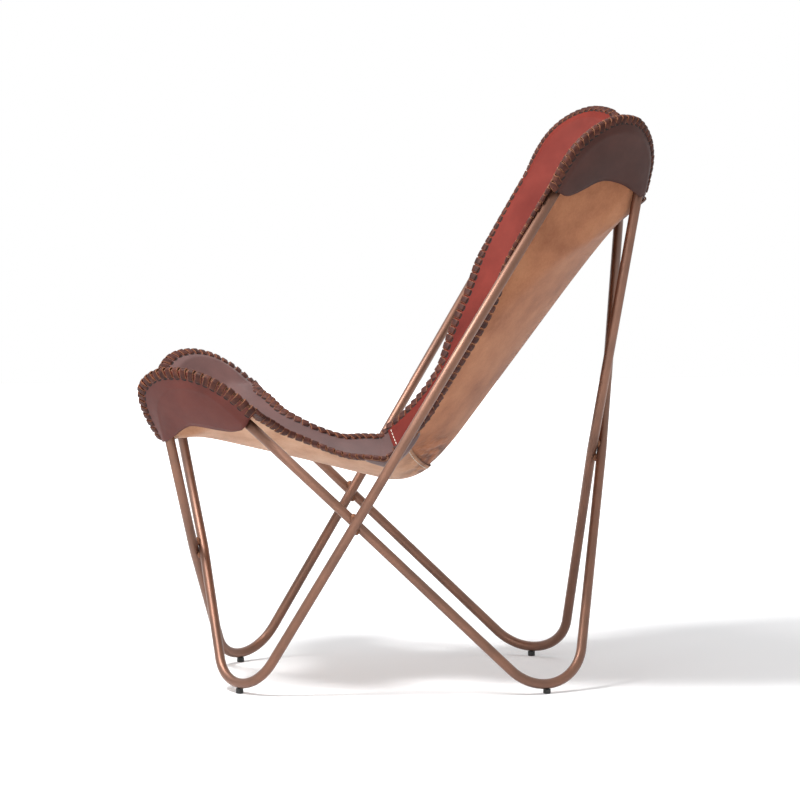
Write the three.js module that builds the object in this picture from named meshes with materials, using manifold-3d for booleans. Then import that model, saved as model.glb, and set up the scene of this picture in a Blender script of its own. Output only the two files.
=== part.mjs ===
// Butterfly sling chair. Two closed loops of bent steel tube cross at the front, the rear and both sides,
// where they are welded, and a laced leather sling hangs from the four ears by its pockets.
// Millimetres, +Z up. The sitter faces -Y, so the sitter's left is +X. The frame is laid out round a point
// on the floor near its middle, and the finished chair is then moved so that its own middle is on the origin.
import * as THREE from "three";
import { mergeVertices } from "three/addons/utils/BufferGeometryUtils.js";
import Module from "manifold-3d";

const wasm = await Module();
wasm.setup();

// Clearance between pieces that touch on the real chair
const FIT = 0.3;

// Frame tube: the middle of each bend's centreline, with the bend radii
const TUBE_D = 16;
const TUBE_WALL = 1.5;
const FRONT_BEND_R = 74;
const REAR_BEND_R = 80;
const FRONT_EAR = { x: 236.6, y: -329.6, z: 500.6 };
const REAR_EAR = { x: 312.4, y: 361.4, z: 899 };
const FRONT_FOOT = { x: 177.9, y: -242.8 };
const REAR_FOOT = { x: 202.3, y: 260.1 };
// Straight tube between an ear's bend and the joint below it, and the spigot inside that joint
const EAR_LEG = 14;
const SPIGOT_L = 24;
// A leg bends by a degree or two at its weld, in a bow of this radius
const BOW_R = 600;

// Weld bead in the notch of two crossing legs
const BEAD_FROM_CROSSING = 11;
const BEAD_HALF_L = 7;
const BEAD_HALF_W = 5.5;
const WELD_GAP = 0.45;

// Glides under the feet
const GLIDE_D = 12;
const GLIDE_H = 8;
const GLIDE_CHAMFER = 0.8;
const GLIDE_STEM_D = 5;
const GLIDE_STEM_RISE = 5;

// Leather sling: thickness, seat profile, back profile and the bend between them
const LEATHER = 3.2;
const SEAT_LOW_Z = 328;
const SEAT_SLOPE = 0.245;
const SEAT_RISE = 50;
const SEAT_FLAT_Y = -360;
const SEAT_FULL_Y = -250;
const WAIST_RISE = 32;
const WAIST_Y = -140;
const WAIST_SPREAD = 60;
const FRONT_ROLL = 12;
const FRONT_ROLL_Y = -280;
const FRONT_ROLL_RUN = 85;
const BACK_FOOT_Y = 83;
const BACK_FOOT_Z = 360;
const BACK_SLOPE = 0.745;
const BACK_CURL = 5;
const BACK_CURL_Z = 620;
const BACK_CURL_RUN = 135;
const BACK_HOLLOW = 44;
const BACK_FULL_Z = 685;
const BACK_FLAT_Z = 805;
const LUMBAR_HOLLOW = 31;
const LUMBAR_Z = 430;
const LUMBAR_SPREAD = 80;
// Half width at which the rises and hollows above are measured
const RISE_HALF = 200;
// Half width of the leather where the seat is narrowest, and at the bend
const WAIST_HALF = 147;
const BEND_HALF = 204;
const BEND_Y = -10;
const BEND_RISE = 45;
const BEND_RUN = 100;
// Rounding where the hanging middle meets the flat of an ear
const SHOULDER = 8;

// The seam across the bend, in run from the start of the bend: the back laps over the seat
const BACK_HEM = 40;
const LAP_MIDDLE = 56;
const SEAT_END = 73;
const LAP_BLEND_END = 130;

// Slack of the leather outside the tube's bend
const WRAP_EASE = 1;

// Leather beyond the tube's centreline at the ears, and the mouths of the pockets
const FRONT_MARGIN = 36;
const REAR_MARGIN = 20;
const FRONT_MOUTH = 92;
const FRONT_MOUTH_HALF = 112;
const REAR_MOUTH = 108;
const REAR_MOUTH_HALF = 100;

// Lacing round the edges, and the sewn seam
const LACE_GAP = 0.9;
const LACE_OUT = 3;
const LACE_PROUD = 1.5;
const LACE_TRIM = 1;
const STITCH_W = 1.4;
const STITCH_H = 0.8;
const STITCH_FROM_HEM = 6;

// Leather patch laced into the edge at each end of the bend
const PATCH_FROM = -30;
const PATCH_W = 26;
const PATCH_TIP_W = 8;

const TUBE_R = TUBE_D / 2;
const BORE_R = TUBE_R - TUBE_WALL;
// Height of the leather's middle over the flat of an ear: on the tube, and at the rim where two leathers meet
const REST = TUBE_R + LEATHER / 2 + 3 * FIT;
const PLY = LEATHER + FIT;
const RIM = PLY / 2;
// Distances from the tube's centreline at which the leather bends over the tube and meets the pocket
const OVER_TUBE = WRAP_EASE + REST / 2;
const OFF_TUBE = WRAP_EASE + REST * Math.SQRT2 - RIM;

const TUBE_SIDES = 12;
const BORE_SIDES = 8;
const BEND_STEPS = 10;
const BOW_STEPS = 2;
const SETTLE_ROUNDS = 60;
const SOLVE_ROUNDS = 24;
const SOLVE_DEPTH = 430;
const CURVE_STEPS = 400;

const steel = new THREE.MeshStandardMaterial({ color: 0x96694f, roughness: 0.3, metalness: 0.85 });
const innerSteel = new THREE.MeshStandardMaterial({ color: 0x8a8c8e, roughness: 0.45, metalness: 0.9 });
const rubber = new THREE.MeshStandardMaterial({ color: 0x141414, roughness: 0.6, metalness: 0 });
const seatLeather = new THREE.MeshStandardMaterial({ color: 0x6e5350, roughness: 0.45, metalness: 0 });
const backLeather = new THREE.MeshStandardMaterial({ color: 0xa04438, roughness: 0.5, metalness: 0 });
const pocketLeather = new THREE.MeshStandardMaterial({ color: 0x6a433e, roughness: 0.45, metalness: 0 });
const laceLeather = new THREE.MeshStandardMaterial({ color: 0x5c382c, roughness: 0.55, metalness: 0 });
const thread = new THREE.MeshStandardMaterial({ color: 0xe8e2d4, roughness: 0.8, metalness: 0 });

const chair = new THREE.Group();

function addMesh(name, geometry, material) {
  const mesh = new THREE.Mesh(geometry, material);
  mesh.name = name;
  chair.add(mesh);
}

function vector(p) {
  return new THREE.Vector3(p.x, p.y, p.z);
}

function mirrored(p) {
  return new THREE.Vector3(-p.x, p.y, p.z);
}

function toSolid(geometry) {
  const bare = geometry.clone();
  bare.deleteAttribute("normal");
  bare.deleteAttribute("uv");
  const merged = mergeVertices(bare, 1e-4);
  const vertProperties = new Float32Array(merged.attributes.position.array);
  const triVerts = new Uint32Array(merged.index.array);
  return new wasm.Manifold(new wasm.Mesh({ numProp: 3, vertProperties, triVerts }));
}

function toGeometry(solid) {
  const mesh = solid.getMesh();
  const geometry = new THREE.BufferGeometry();
  geometry.setAttribute("position", new THREE.BufferAttribute(mesh.vertProperties, 3));
  geometry.setIndex(new THREE.BufferAttribute(mesh.triVerts, 1));
  geometry.computeVertexNormals();
  return geometry;
}

// Round bend of radius r between the two straight legs that run from corner towards two points
function bendAt(corner, towardsA, towardsB, r) {
  const a = towardsA.clone().sub(corner).normalize();
  const b = towardsB.clone().sub(corner).normalize();
  const half = a.angleTo(b) / 2;
  const inward = a.clone().add(b).normalize();
  const side = a.clone().sub(b).normalize();
  const centre = corner.clone().addScaledVector(inward, r / Math.sin(half));
  const tangent = r / Math.tan(half);
  return {
    corner,
    r,
    half,
    inward,
    side,
    centre,
    legA: a,
    legB: b,
    tip: centre.clone().addScaledVector(inward, -r),
    startA: corner.clone().addScaledVector(a, tangent),
    startB: corner.clone().addScaledVector(b, tangent),
  };
}

// Lowest point of a bend's centreline
function lowestOf(bend) {
  const drop = bend.inward.clone().multiplyScalar(-bend.inward.z);
  drop.addScaledVector(bend.side, -bend.side.z).normalize();
  return bend.centre.clone().addScaledVector(drop, bend.r);
}

// Corners where the straight legs would meet, settled so that the bends pass where they should
function settleCorners() {
  const low = GLIDE_H + TUBE_R;
  const corners = {
    frontEar: vector(FRONT_EAR),
    rearEar: vector(REAR_EAR),
    frontFoot: new THREE.Vector3(FRONT_FOOT.x, FRONT_FOOT.y, low),
    rearFoot: new THREE.Vector3(REAR_FOOT.x, REAR_FOOT.y, low),
  };
  for (let round = 0; round < SETTLE_ROUNDS; round++) {
    const { frontEar, rearEar, frontFoot, rearFoot } = corners;
    const ears = {
      frontEar: [bendAt(frontEar, rearFoot, mirrored(frontFoot), FRONT_BEND_R), FRONT_EAR],
      rearEar: [bendAt(rearEar, frontFoot, mirrored(rearFoot), REAR_BEND_R), REAR_EAR],
    };
    const feet = {
      frontFoot: [bendAt(frontFoot, rearEar, mirrored(frontEar), FRONT_BEND_R), FRONT_FOOT],
      rearFoot: [bendAt(rearFoot, frontEar, mirrored(rearEar), REAR_BEND_R), REAR_FOOT],
    };
    for (const [name, [bend, wanted]] of Object.entries(ears)) {
      corners[name] = bend.corner.clone().add(vector(wanted)).sub(bend.tip);
    }
    for (const [name, [bend, wanted]] of Object.entries(feet)) {
      const moved = bend.corner.clone();
      moved.x += wanted.x - bend.tip.x;
      moved.y += wanted.y - bend.tip.y;
      moved.z += low - lowestOf(bend).z;
      corners[name] = moved;
    }
  }
  return corners;
}

const corners = settleCorners();
const onSide = (name, side) => (side === "left" ? corners[name] : mirrored(corners[name]));

// Where two legs cross: each passes half a tube to its own side of the middle
function crossingOf(outer, inner, outward) {
  const [p, q] = outer;
  const [r, s] = inner;
  const d1 = q.clone().sub(p).normalize();
  const d2 = s.clone().sub(r).normalize();
  const n = d1.clone().cross(d2).normalize();
  if (n.dot(outward) < 0) n.negate();
  const between = r.clone().sub(p);
  const c = d1.dot(d2);
  const t1 = (between.dot(d1) - c * between.dot(d2)) / (1 - c * c);
  const t2 = (c * between.dot(d1) - between.dot(d2)) / (1 - c * c);
  const near1 = p.clone().addScaledVector(d1, t1);
  const near2 = r.clone().addScaledVector(d2, t2);
  const middle = near1.add(near2).multiplyScalar(1 / 2);
  const shift = (TUBE_D + FIT) / 2;
  return {
    middle,
    n,
    dirs: [d1, d2],
    outer: middle.clone().addScaledVector(n, shift),
    inner: middle.clone().addScaledVector(n, -shift),
  };
}

const leg = (ear, earSide, foot, footSide) => [onSide(ear, earSide), onSide(foot, footSide)];
const crossings = {
  front: crossingOf(
    leg("frontEar", "left", "frontFoot", "right"),
    leg("frontEar", "right", "frontFoot", "left"),
    new THREE.Vector3(0, -1, 0),
  ),
  rear: crossingOf(
    leg("rearEar", "right", "rearFoot", "left"),
    leg("rearEar", "left", "rearFoot", "right"),
    new THREE.Vector3(0, 1, 0),
  ),
  left: crossingOf(
    leg("rearEar", "left", "frontFoot", "left"),
    leg("frontEar", "left", "rearFoot", "left"),
    new THREE.Vector3(1, 0, 0),
  ),
  right: crossingOf(
    leg("frontEar", "right", "rearFoot", "right"),
    leg("rearEar", "right", "frontFoot", "right"),
    new THREE.Vector3(-1, 0, 0),
  ),
};

// The four ears: first the leg along the chair's side, then the leg across its front or rear
const { front, rear, left, right } = crossings;
const ears = {
  front_left: bendAt(onSide("frontEar", "left"), left.inner, front.outer, FRONT_BEND_R),
  front_right: bendAt(onSide("frontEar", "right"), right.outer, front.inner, FRONT_BEND_R),
  rear_left: bendAt(onSide("rearEar", "left"), left.outer, rear.inner, REAR_BEND_R),
  rear_right: bendAt(onSide("rearEar", "right"), right.inner, rear.outer, REAR_BEND_R),
};
for (const ear of Object.values(ears)) {
  ear.up = ear.side.clone().cross(ear.inward).normalize();
  if (ear.up.z < 0) ear.up.negate();
  ear.jointA = ear.startA.clone().addScaledVector(ear.legA, EAR_LEG);
  ear.jointB = ear.startB.clone().addScaledVector(ear.legB, EAR_LEG);
}

// Each foot tube runs from one ear through a side crossing, round the foot and through the front or rear one
const footTube = (sideEar, sideCross, corner, endCross, endEar, r) => ({
  nodes: [ears[sideEar].jointA, sideCross, corner, endCross, ears[endEar].jointB],
  r,
});
const feet = {
  front_left: footTube(
    "rear_left", left.outer, onSide("frontFoot", "left"), front.inner, "front_right", FRONT_BEND_R,
  ),
  front_right: footTube(
    "rear_right", right.inner, onSide("frontFoot", "right"), front.outer, "front_left", FRONT_BEND_R,
  ),
  rear_left: footTube(
    "front_left", left.inner, onSide("rearFoot", "left"), rear.outer, "rear_right", REAR_BEND_R,
  ),
  rear_right: footTube(
    "front_right", right.outer, onSide("rearFoot", "right"), rear.inner, "rear_left", REAR_BEND_R,
  ),
};

// A curve that hands an extrusion its own stations, so that straight legs need none in between
class StationPath extends THREE.Curve {
  constructor(stations) {
    super();
    this.stations = stations;
  }
  stationAt(u) {
    return this.stations[Math.round(u * (this.stations.length - 1))];
  }
  getPoint(u) {
    return this.stationAt(u).point.clone();
  }
  getPointAt(u) {
    return this.getPoint(u);
  }
  getTangent(u) {
    return this.stationAt(u).tangent.clone();
  }
  getTangentAt(u) {
    return this.getTangent(u);
  }
}

// Stations round one bend, from its leg A to its leg B
function bendStations(bend, steps) {
  const reach = Math.PI / 2 - bend.half;
  const stations = [];
  for (let i = 0; i <= steps; i++) {
    const angle = reach - (2 * reach * i) / steps;
    const point = bend.centre.clone();
    point.addScaledVector(bend.inward, -bend.r * Math.cos(angle));
    point.addScaledVector(bend.side, bend.r * Math.sin(angle));
    const tangent = bend.inward.clone().multiplyScalar(-Math.sin(angle));
    tangent.addScaledVector(bend.side, -Math.cos(angle));
    stations.push({ point, tangent });
  }
  return stations;
}

// Path through points, with a bend of the given radius and number of steps at each inner one
function pathThrough(points, radii, steps) {
  const last = points.length - 1;
  const first = points[1].clone().sub(points[0]).normalize();
  const end = points[last].clone().sub(points[last - 1]).normalize();
  const stations = [{ point: points[0].clone(), tangent: first }];
  for (let i = 1; i < last; i++) {
    const bend = bendAt(points[i], points[i - 1], points[i + 1], radii[i - 1]);
    stations.push(...bendStations(bend, steps[i - 1]));
  }
  stations.push({ point: points[last].clone(), tangent: end });
  return new StationPath(stations);
}

function polygon(radius, sides) {
  const points = [];
  for (let i = 0; i < sides; i++) {
    const angle = (2 * Math.PI * i) / sides;
    points.push(new THREE.Vector2(radius * Math.cos(angle), radius * Math.sin(angle)));
  }
  return points;
}

function tubeGeometry(path) {
  const section = new THREE.Shape(polygon(TUBE_R, TUBE_SIDES));
  section.holes.push(new THREE.Path(polygon(BORE_R / Math.cos(Math.PI / BORE_SIDES), BORE_SIDES)));
  return new THREE.ExtrudeGeometry(section, { steps: path.stations.length - 1, extrudePath: path });
}

// Cylinder of radius r from one point to another
function rodGeometry(from, to, r) {
  const rod = new THREE.CylinderGeometry(r, r, from.distanceTo(to), TUBE_SIDES);
  const along = to.clone().sub(from).normalize();
  rod.applyQuaternion(new THREE.Quaternion().setFromUnitVectors(new THREE.Vector3(0, 1, 0), along));
  const middle = from.clone().add(to).multiplyScalar(1 / 2);
  return rod.translate(middle.x, middle.y, middle.z);
}

function addFrame() {
  for (const [name, foot] of Object.entries(feet)) {
    const [jointA, crossA, corner, crossB, jointB] = foot.nodes;
    const endA = jointA.clone().addScaledVector(crossA.clone().sub(jointA).normalize(), FIT);
    const endB = jointB.clone().addScaledVector(crossB.clone().sub(jointB).normalize(), FIT);
    const points = [endA, crossA, corner, crossB, endB];
    const path = pathThrough(points, [BOW_R, foot.r, BOW_R], [BOW_STEPS, BEND_STEPS, BOW_STEPS]);
    const low = lowestOf(bendAt(corner, crossA, crossB, foot.r));
    const stemHole = rodGeometry(
      new THREE.Vector3(low.x, low.y, 0),
      low,
      GLIDE_STEM_D / 2 + FIT,
    );
    const tube = toSolid(tubeGeometry(path)).subtract(toSolid(stemHole));
    addMesh("foot_tube_" + name, toGeometry(tube), steel);
    addGlide("glide_" + name, low);
  }
  for (const [name, ear] of Object.entries(ears)) {
    const path = pathThrough([ear.jointA, ear.corner, ear.jointB], [ear.r], [BEND_STEPS]);
    addMesh("ear_tube_" + name, tubeGeometry(path), steel);
    const spigots = { side: [ear.jointA, ear.legA], cross: [ear.jointB, ear.legB] };
    for (const [which, [joint, along]] of Object.entries(spigots)) {
      const from = joint.clone().addScaledVector(along, -SPIGOT_L / 2);
      const to = joint.clone().addScaledVector(along, SPIGOT_L / 2);
      addMesh("spigot_" + name + "_" + which, rodGeometry(from, to, BORE_R - FIT), innerSteel);
    }
  }
  for (const [name, crossing] of Object.entries(crossings)) addWelds(name, crossing);
}

// Glide on a stem that plugs into the underside of a foot
function addGlide(name, low) {
  const r = GLIDE_D / 2;
  const stem = GLIDE_STEM_D / 2;
  const top = low.z - TUBE_R - FIT;
  const profile = [
    new THREE.Vector2(0, 0),
    new THREE.Vector2(r - GLIDE_CHAMFER, 0),
    new THREE.Vector2(r, GLIDE_CHAMFER),
    new THREE.Vector2(r, top),
    new THREE.Vector2(stem, top),
    new THREE.Vector2(stem, top + GLIDE_STEM_RISE),
    new THREE.Vector2(0, top + GLIDE_STEM_RISE),
  ];
  const glide = new THREE.LatheGeometry(profile, TUBE_SIDES);
  glide.rotateX(Math.PI / 2);
  glide.translate(low.x, low.y, 0);
  addMesh(name, glide, rubber);
}

// The two beads of one crossing, in the notches above and below it
function addWelds(name, crossing) {
  const [d1, d2] = crossing.dirs;
  const up = d1.clone().add(d2);
  if (d1.dot(d2) < 0) up.copy(d1).sub(d2);
  up.normalize();
  if (up.z < 0) up.negate();
  const across = crossing.n.clone().cross(up);
  const reach = 2 * (BEAD_FROM_CROSSING + BEAD_HALF_L);
  const cutR = (TUBE_R + WELD_GAP) / Math.cos(Math.PI / TUBE_SIDES);
  const legs = [
    [crossing.outer, d1],
    [crossing.inner, d2],
  ].map(([node, d]) => {
    const from = node.clone().addScaledVector(d, -reach);
    const to = node.clone().addScaledVector(d, reach);
    return toSolid(rodGeometry(from, to, cutR));
  });
  for (const [which, sign] of Object.entries({ upper: 1, lower: -1 })) {
    const bead = new THREE.SphereGeometry(1, TUBE_SIDES, BORE_SIDES);
    const turn = new THREE.Matrix4().makeBasis(up, across, crossing.n);
    bead.scale(BEAD_HALF_L, BEAD_HALF_W, BEAD_HALF_W).applyMatrix4(turn);
    const centre = crossing.middle.clone().addScaledVector(up, sign * BEAD_FROM_CROSSING);
    bead.translate(centre.x, centre.y, centre.z);
    const cut = toSolid(bead).subtract(legs[0]).subtract(legs[1]);
    const largest = cut.decompose().sort((a, b) => b.volume() - a.volume())[0];
    addMesh("weld_" + name + "_" + which, toGeometry(largest), steel);
  }
}

const smoothMax = (a, b, k) => (a + b + Math.hypot(a - b, k)) / 2;
const smoothMin = (a, b, k) => -smoothMax(-a, -b, k);
const earFor = (end, x) => ears[end + (x < 0 ? "_right" : "_left")];

// Distance of a point outside the centreline of an ear's tube, along the flat of the ear
function tubeDistance(ear, point) {
  const from = point.clone().sub(ear.centre);
  const along = -from.dot(ear.inward);
  const across = Math.abs(from.dot(ear.side));
  const reach = Math.PI / 2 - ear.half;
  if (Math.atan2(across, along) <= reach) return Math.hypot(along, across) - ear.r;
  return along * Math.cos(reach) + across * Math.sin(reach) - ear.r;
}

// Height of the leather's middle over the flat of an ear, over the tube and down to the rim outside it
function liftAt(distance) {
  const out = distance - WRAP_EASE;
  if (out <= 0) return REST;
  if (out < REST * Math.SQRT1_2) return Math.sqrt(REST * REST - out * out);
  return Math.max(RIM, REST * Math.SQRT2 - out);
}

// The leather over an ear, found along one axis: pointAt gives the point at a height over the ear's flat.
// The rear leather hangs free inside of the ear's inner leg.
function leatherOverEar(ear, pointAt, rear) {
  let low = -SOLVE_DEPTH;
  let high = REST;
  for (let i = 0; i < SOLVE_ROUNDS; i++) {
    const height = (low + high) / 2;
    const point = pointAt(height);
    const from = point.clone().sub(ear.tip);
    const free = rear && from.dot(ear.side) < 0;
    const lift = free ? REST : liftAt(tubeDistance(ear, point));
    if (height > lift) high = height;
    else low = height;
  }
  return pointAt(low);
}

// Seat: height of the leather's middle at a place in plan. It hangs in a hollow between the front ears.
function seatZ(x, y) {
  const roll = Math.max(0, FRONT_ROLL_Y - y) / FRONT_ROLL_RUN;
  const middle = SEAT_LOW_Z - SEAT_SLOPE * y - FRONT_ROLL * roll * roll;
  const waist = WAIST_RISE * Math.exp(-(((y - WAIST_Y) / WAIST_SPREAD) ** 2));
  const rise = SEAT_RISE * THREE.MathUtils.smoothstep(y, SEAT_FLAT_Y, SEAT_FULL_Y) + waist;
  const wide = smoothMin(Math.abs(x), FRONT_EAR.x, SHOULDER);
  const trough = middle + rise * (wide / RISE_HALF) ** 2;
  const ear = earFor("front", x);
  const { tip, up } = ear;
  const pointAt = (height) =>
    new THREE.Vector3(x, y, tip.z + (height - up.x * (x - tip.x) - up.y * (y - tip.y)) / up.z);
  return smoothMax(trough, leatherOverEar(ear, pointAt, false).z, SHOULDER);
}

// Back: how far towards +Y the leather's middle lies at a place seen from the front
function backY(x, z) {
  const curl = Math.max(0, z - BACK_CURL_Z) / BACK_CURL_RUN;
  const middle = BACK_FOOT_Y + BACK_SLOPE * (z - BACK_FOOT_Z) + BACK_CURL * curl * curl;
  const lumbar = LUMBAR_HOLLOW * Math.exp(-(z - LUMBAR_Z) / LUMBAR_SPREAD);
  const full = 1 - THREE.MathUtils.smoothstep(z, BACK_FULL_Z, BACK_FLAT_Z);
  const trough = middle - (BACK_HOLLOW * full + lumbar) * (x / RISE_HALF) ** 2;
  const ear = earFor("rear", x);
  const { tip, up } = ear;
  const pointAt = (height) =>
    new THREE.Vector3(x, tip.y + (height - up.x * (x - tip.x) - up.z * (z - tip.z)) / up.y, z);
  return smoothMin(trough, leatherOverEar(ear, pointAt, true).y, SHOULDER);
}

const bendTopZ = (x) => seatZ(x, BEND_Y) + BEND_RISE;

// The sling's middle surface at a place: x across, and run along it, zero where the bend starts
function slingPoint(place) {
  const { x, y: run } = place;
  if (run <= 0) return new THREE.Vector3(x, BEND_Y + run, seatZ(x, BEND_Y + run));
  const topZ = bendTopZ(x);
  if (run >= BEND_RUN) {
    const z = topZ + run - BEND_RUN;
    return new THREE.Vector3(x, backY(x, z), z);
  }
  const from = { y: BEND_Y, z: topZ - BEND_RISE };
  const to = { y: backY(x, topZ), z: topZ };
  const seatSlope = (from.z - seatZ(x, BEND_Y - FIT)) / FIT;
  const backSlope = (backY(x, topZ + FIT) - to.y) / FIT;
  const reach = (to.y - from.y - backSlope * BEND_RISE) / (1 - backSlope * seatSlope);
  const knee = { y: from.y + reach, z: from.z + reach * seatSlope };
  const t = run / BEND_RUN;
  const blend = (a, b, c) => (1 - t) * (1 - t) * a + 2 * t * (1 - t) * b + t * t * c;
  return new THREE.Vector3(x, blend(from.y, knee.y, to.y), blend(from.z, knee.z, to.z));
}

// Normal of that surface, on the sitter's side
function slingNormal(place) {
  const step = (x, y) => slingPoint(new THREE.Vector2(place.x + x, place.y + y));
  const across = step(1, 0).sub(step(-1, 0));
  const along = step(0, 1).sub(step(0, -1));
  return across.cross(along).normalize();
}

// The sling's surface raised towards the sitter by a height
function raisedPoint(place, height) {
  return slingPoint(place).addScaledVector(slingNormal(place), height);
}

// Places are (x, run) pairs in a 2D vector
const place = (x, run) => new THREE.Vector2(x, run);
const seatPlace = (point) => place(point.x, point.y - BEND_Y);
const backPlace = (point) => place(point.x, point.z - bendTopZ(point.x) + BEND_RUN);

// A row of numbers read from the [at, share] pairs of a table
function shareAt(shares, at) {
  const next = shares.findIndex(([start]) => start >= at);
  if (next <= 0) return shares[Math.max(0, next)][1];
  const [a, from] = shares[next - 1];
  const [b, to] = shares[next];
  return from + ((to - from) * (at - a)) / (b - a);
}

// Outline of the leather round each ear: degrees round the bend, towards the side leg, and the margin beyond
// the tube as a share of the ear's named margin
const frontMarginShares = [
  [-103, 1.1],
  [-88, 1.0],
  [-70, 1.05],
  [-45, 1.22],
  [-20, 1.05],
  [0, 0.88],
  [25, 0.8],
  [50, 0.78],
  [70, 0.88],
  [90, 1.06],
];
const rearMarginShares = [
  [-102, 1.22],
  [-88, 0.9],
  [-75, 0.82],
  [-55, 0.82],
  [-35, 1.0],
  [-15, 1.3],
  [8, 1.3],
  [30, 1.1],
  [55, 0.98],
  [75, 0.92],
  [90, 1.02],
  [102, 1.22],
];
// Mouth of the pockets between the two legs of an ear, from the outer leg to the inner one: across from the
// middle of the ear, and down from its tip, as shares of the mouth's half width and depth
const frontMouthShares = [
  [0.71, 0.99],
  [0.51, 1.0],
  [0.32, 0.945],
  [0.13, 0.87],
  [-0.12, 0.78],
  [-0.27, 0.8],
  [-0.43, 0.87],
  [-0.6, 0.96],
  [-0.74, 1.02],
];
const rearMouthShares = [
  [0.82, 1.0],
  [0.68, 1.0],
  [0.47, 0.91],
  [0.22, 0.775],
  [0.01, 0.74],
  [-0.32, 0.785],
  [-0.6, 0.88],
  [-0.84, 0.98],
];
// Side edges between the ears. Each point is a share of the way from one half width to the next, and its run
// is a share of the edge's run from the bend to the front ear, below zero, or to the rear ear.
const waistToEarShares = [
  [0.927, -0.988],
  [0.592, -0.89],
  [0.201, -0.765],
  [0.022, -0.616],
  [0, -0.474],
];
const waistToBendShares = [
  [0.193, -0.3],
  [0.649, -0.126],
];
const bendToEarShares = [
  [0, 0.063],
  [0.074, 0.189],
  [0.332, 0.299],
  [0.498, 0.379],
  [0.627, 0.465],
  [0.729, 0.55],
  [0.849, 0.636],
  [0.987, 0.721],
  [1.089, 0.806],
  [1.172, 0.891],
];
// Middle of the free edges between the ears
const frontMiddleShare = 0.986;
const topMiddleShare = 0.97;

const SEAT_LENGTH = BEND_Y - FRONT_EAR.y;
const BACK_LENGTH = REAR_EAR.z - SEAT_LOW_Z - BEND_RISE - BEND_RUN / 3;

// Steps of the grid along each stretch of a panel's edge
const FREE_STEPS = 4;
const outerLobeShares = [1, 0.84, 0.67, 0.5, 0.33, 0.17, 0];
const innerLobeShares = [0.15, 0.3, 0.44, 0.58, 0.72, 0.86, 1];
const SIDE_INSET = 14;
const sideRingShares = [0, 0.4, 0.75, 1];
// The leather is off the tube at this share of the rim's distance at the latest
const OFF_LIMIT_SHARE = 0.9;
// How far each point of a pocket's line follows the rim that it is laced to
const pocketSettleShares = [0, 0, 0.8, 1];
// Rows of the grid on the side edges, as shares of their runs like those above
const seatRowShares = [-0.11, -0.268, -0.458, -0.647, -0.821, -0.963];
const backRowShares = [0.231, 0.326, 0.441, 0.546, 0.609, 0.672, 0.735, 0.83, 0.945];
const lapRows = [BACK_HEM, LAP_MIDDLE, SEAT_END];
const LOBE_STEPS = outerLobeShares.length - 1 + innerLobeShares.length;
const COLUMNS = 2 * (FREE_STEPS + innerLobeShares.length);

// Place on an ear's flat at an angle round its bend, measured from the tip towards the side leg
function earPoint(ear, degrees, radius) {
  const angle = THREE.MathUtils.degToRad(degrees);
  const point = ear.centre.clone();
  point.addScaledVector(ear.inward, -radius * Math.cos(angle));
  return point.addScaledVector(ear.side, radius * Math.sin(angle));
}

// The leather's middle straight over a place on an ear's flat
function liftedPoint(ear, point) {
  return point.clone().addScaledVector(ear.up, liftAt(tubeDistance(ear, point)));
}

// One line of points on an ear's flat, from the tube outwards to the leather's rim, at an angle round the ear
function flatLine(ear, degrees, { shares, margin }) {
  const past = THREE.MathUtils.degToRad(Math.abs(degrees)) - (Math.PI / 2 - ear.half);
  const spread = Math.cos(Math.max(0, past));
  const edge = ear.r + margin * shareAt(shares, degrees);
  const out = edge * spread - ear.r;
  const off = Math.min(OFF_TUBE, out * OFF_LIMIT_SHARE);
  const over = Math.min(OVER_TUBE, off / 2);
  const line = [0, over, off].map((distance) => (ear.r + distance) / spread);
  return [...line, edge].map((radius) => earPoint(ear, degrees, radius));
}

// The same line as places on the sling
function lobeLine(ear, degrees, lobe) {
  const line = flatLine(ear, degrees, lobe).map((flat) => {
    const point = liftedPoint(ear, flat);
    const at = lobe.toPlace(point);
    if (lobe.exact) at.point = point;
    return at;
  });
  line[line.length - 1].normal = ear.up;
  return line;
}

// The side edge's place at a run, between the places where it leaves the two ears
function sideCurve(sign) {
  const start = seatPlace(earEdge("front", sign, 1));
  const end = backPlace(earEdge("rear", sign, 1));
  const between = (shares, from, to, length) =>
    shares.map(([share, along]) => place(sign * THREE.MathUtils.lerp(from, to, share), along * length));
  const places = [
    ...between(waistToEarShares, WAIST_HALF, FRONT_EAR.x, -start.y),
    ...between(waistToBendShares, WAIST_HALF, BEND_HALF, -start.y),
    ...between(bendToEarShares, BEND_HALF, REAR_EAR.x, end.y),
  ];
  return new THREE.SplineCurve([start, ...places, end]).getPoints(CURVE_STEPS);
}

const lobes = {
  front: {
    shares: frontMarginShares,
    margin: FRONT_MARGIN,
    mouthShares: frontMouthShares,
    mouthHalf: FRONT_MOUTH_HALF,
    mouthDepth: FRONT_MOUTH,
    toPlace: seatPlace,
    exact: false,
  },
  rear: {
    shares: rearMarginShares,
    margin: REAR_MARGIN,
    mouthShares: rearMouthShares,
    mouthHalf: REAR_MOUTH_HALF,
    mouthDepth: REAR_MOUTH,
    toPlace: backPlace,
    exact: true,
  },
};

// Edge of the leather where a pocket ends: at the outer end for 1, at the inner one for -1
function earEdge(end, sign, which) {
  const { shares, margin } = lobes[end];
  const [degrees, share] = which > 0 ? shares[shares.length - 1] : shares[0];
  const ear = earFor(end, sign);
  return liftedPoint(ear, earPoint(ear, degrees, ear.r + margin * share));
}

const sideCurves = { 1: sideCurve(1), [-1]: sideCurve(-1) };

// Runs of a panel's rows at one side edge, from the seam to the ear
function rowRuns(end, sign) {
  const curve = sideCurves[sign];
  if (end === "rear") return [...lapRows, ...backRowShares.map((share) => share * curve[CURVE_STEPS].y)];
  return [...lapRows].reverse().concat(BACK_HEM / 2, seatRowShares.map((share) => -share * curve[0].y));
}

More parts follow.
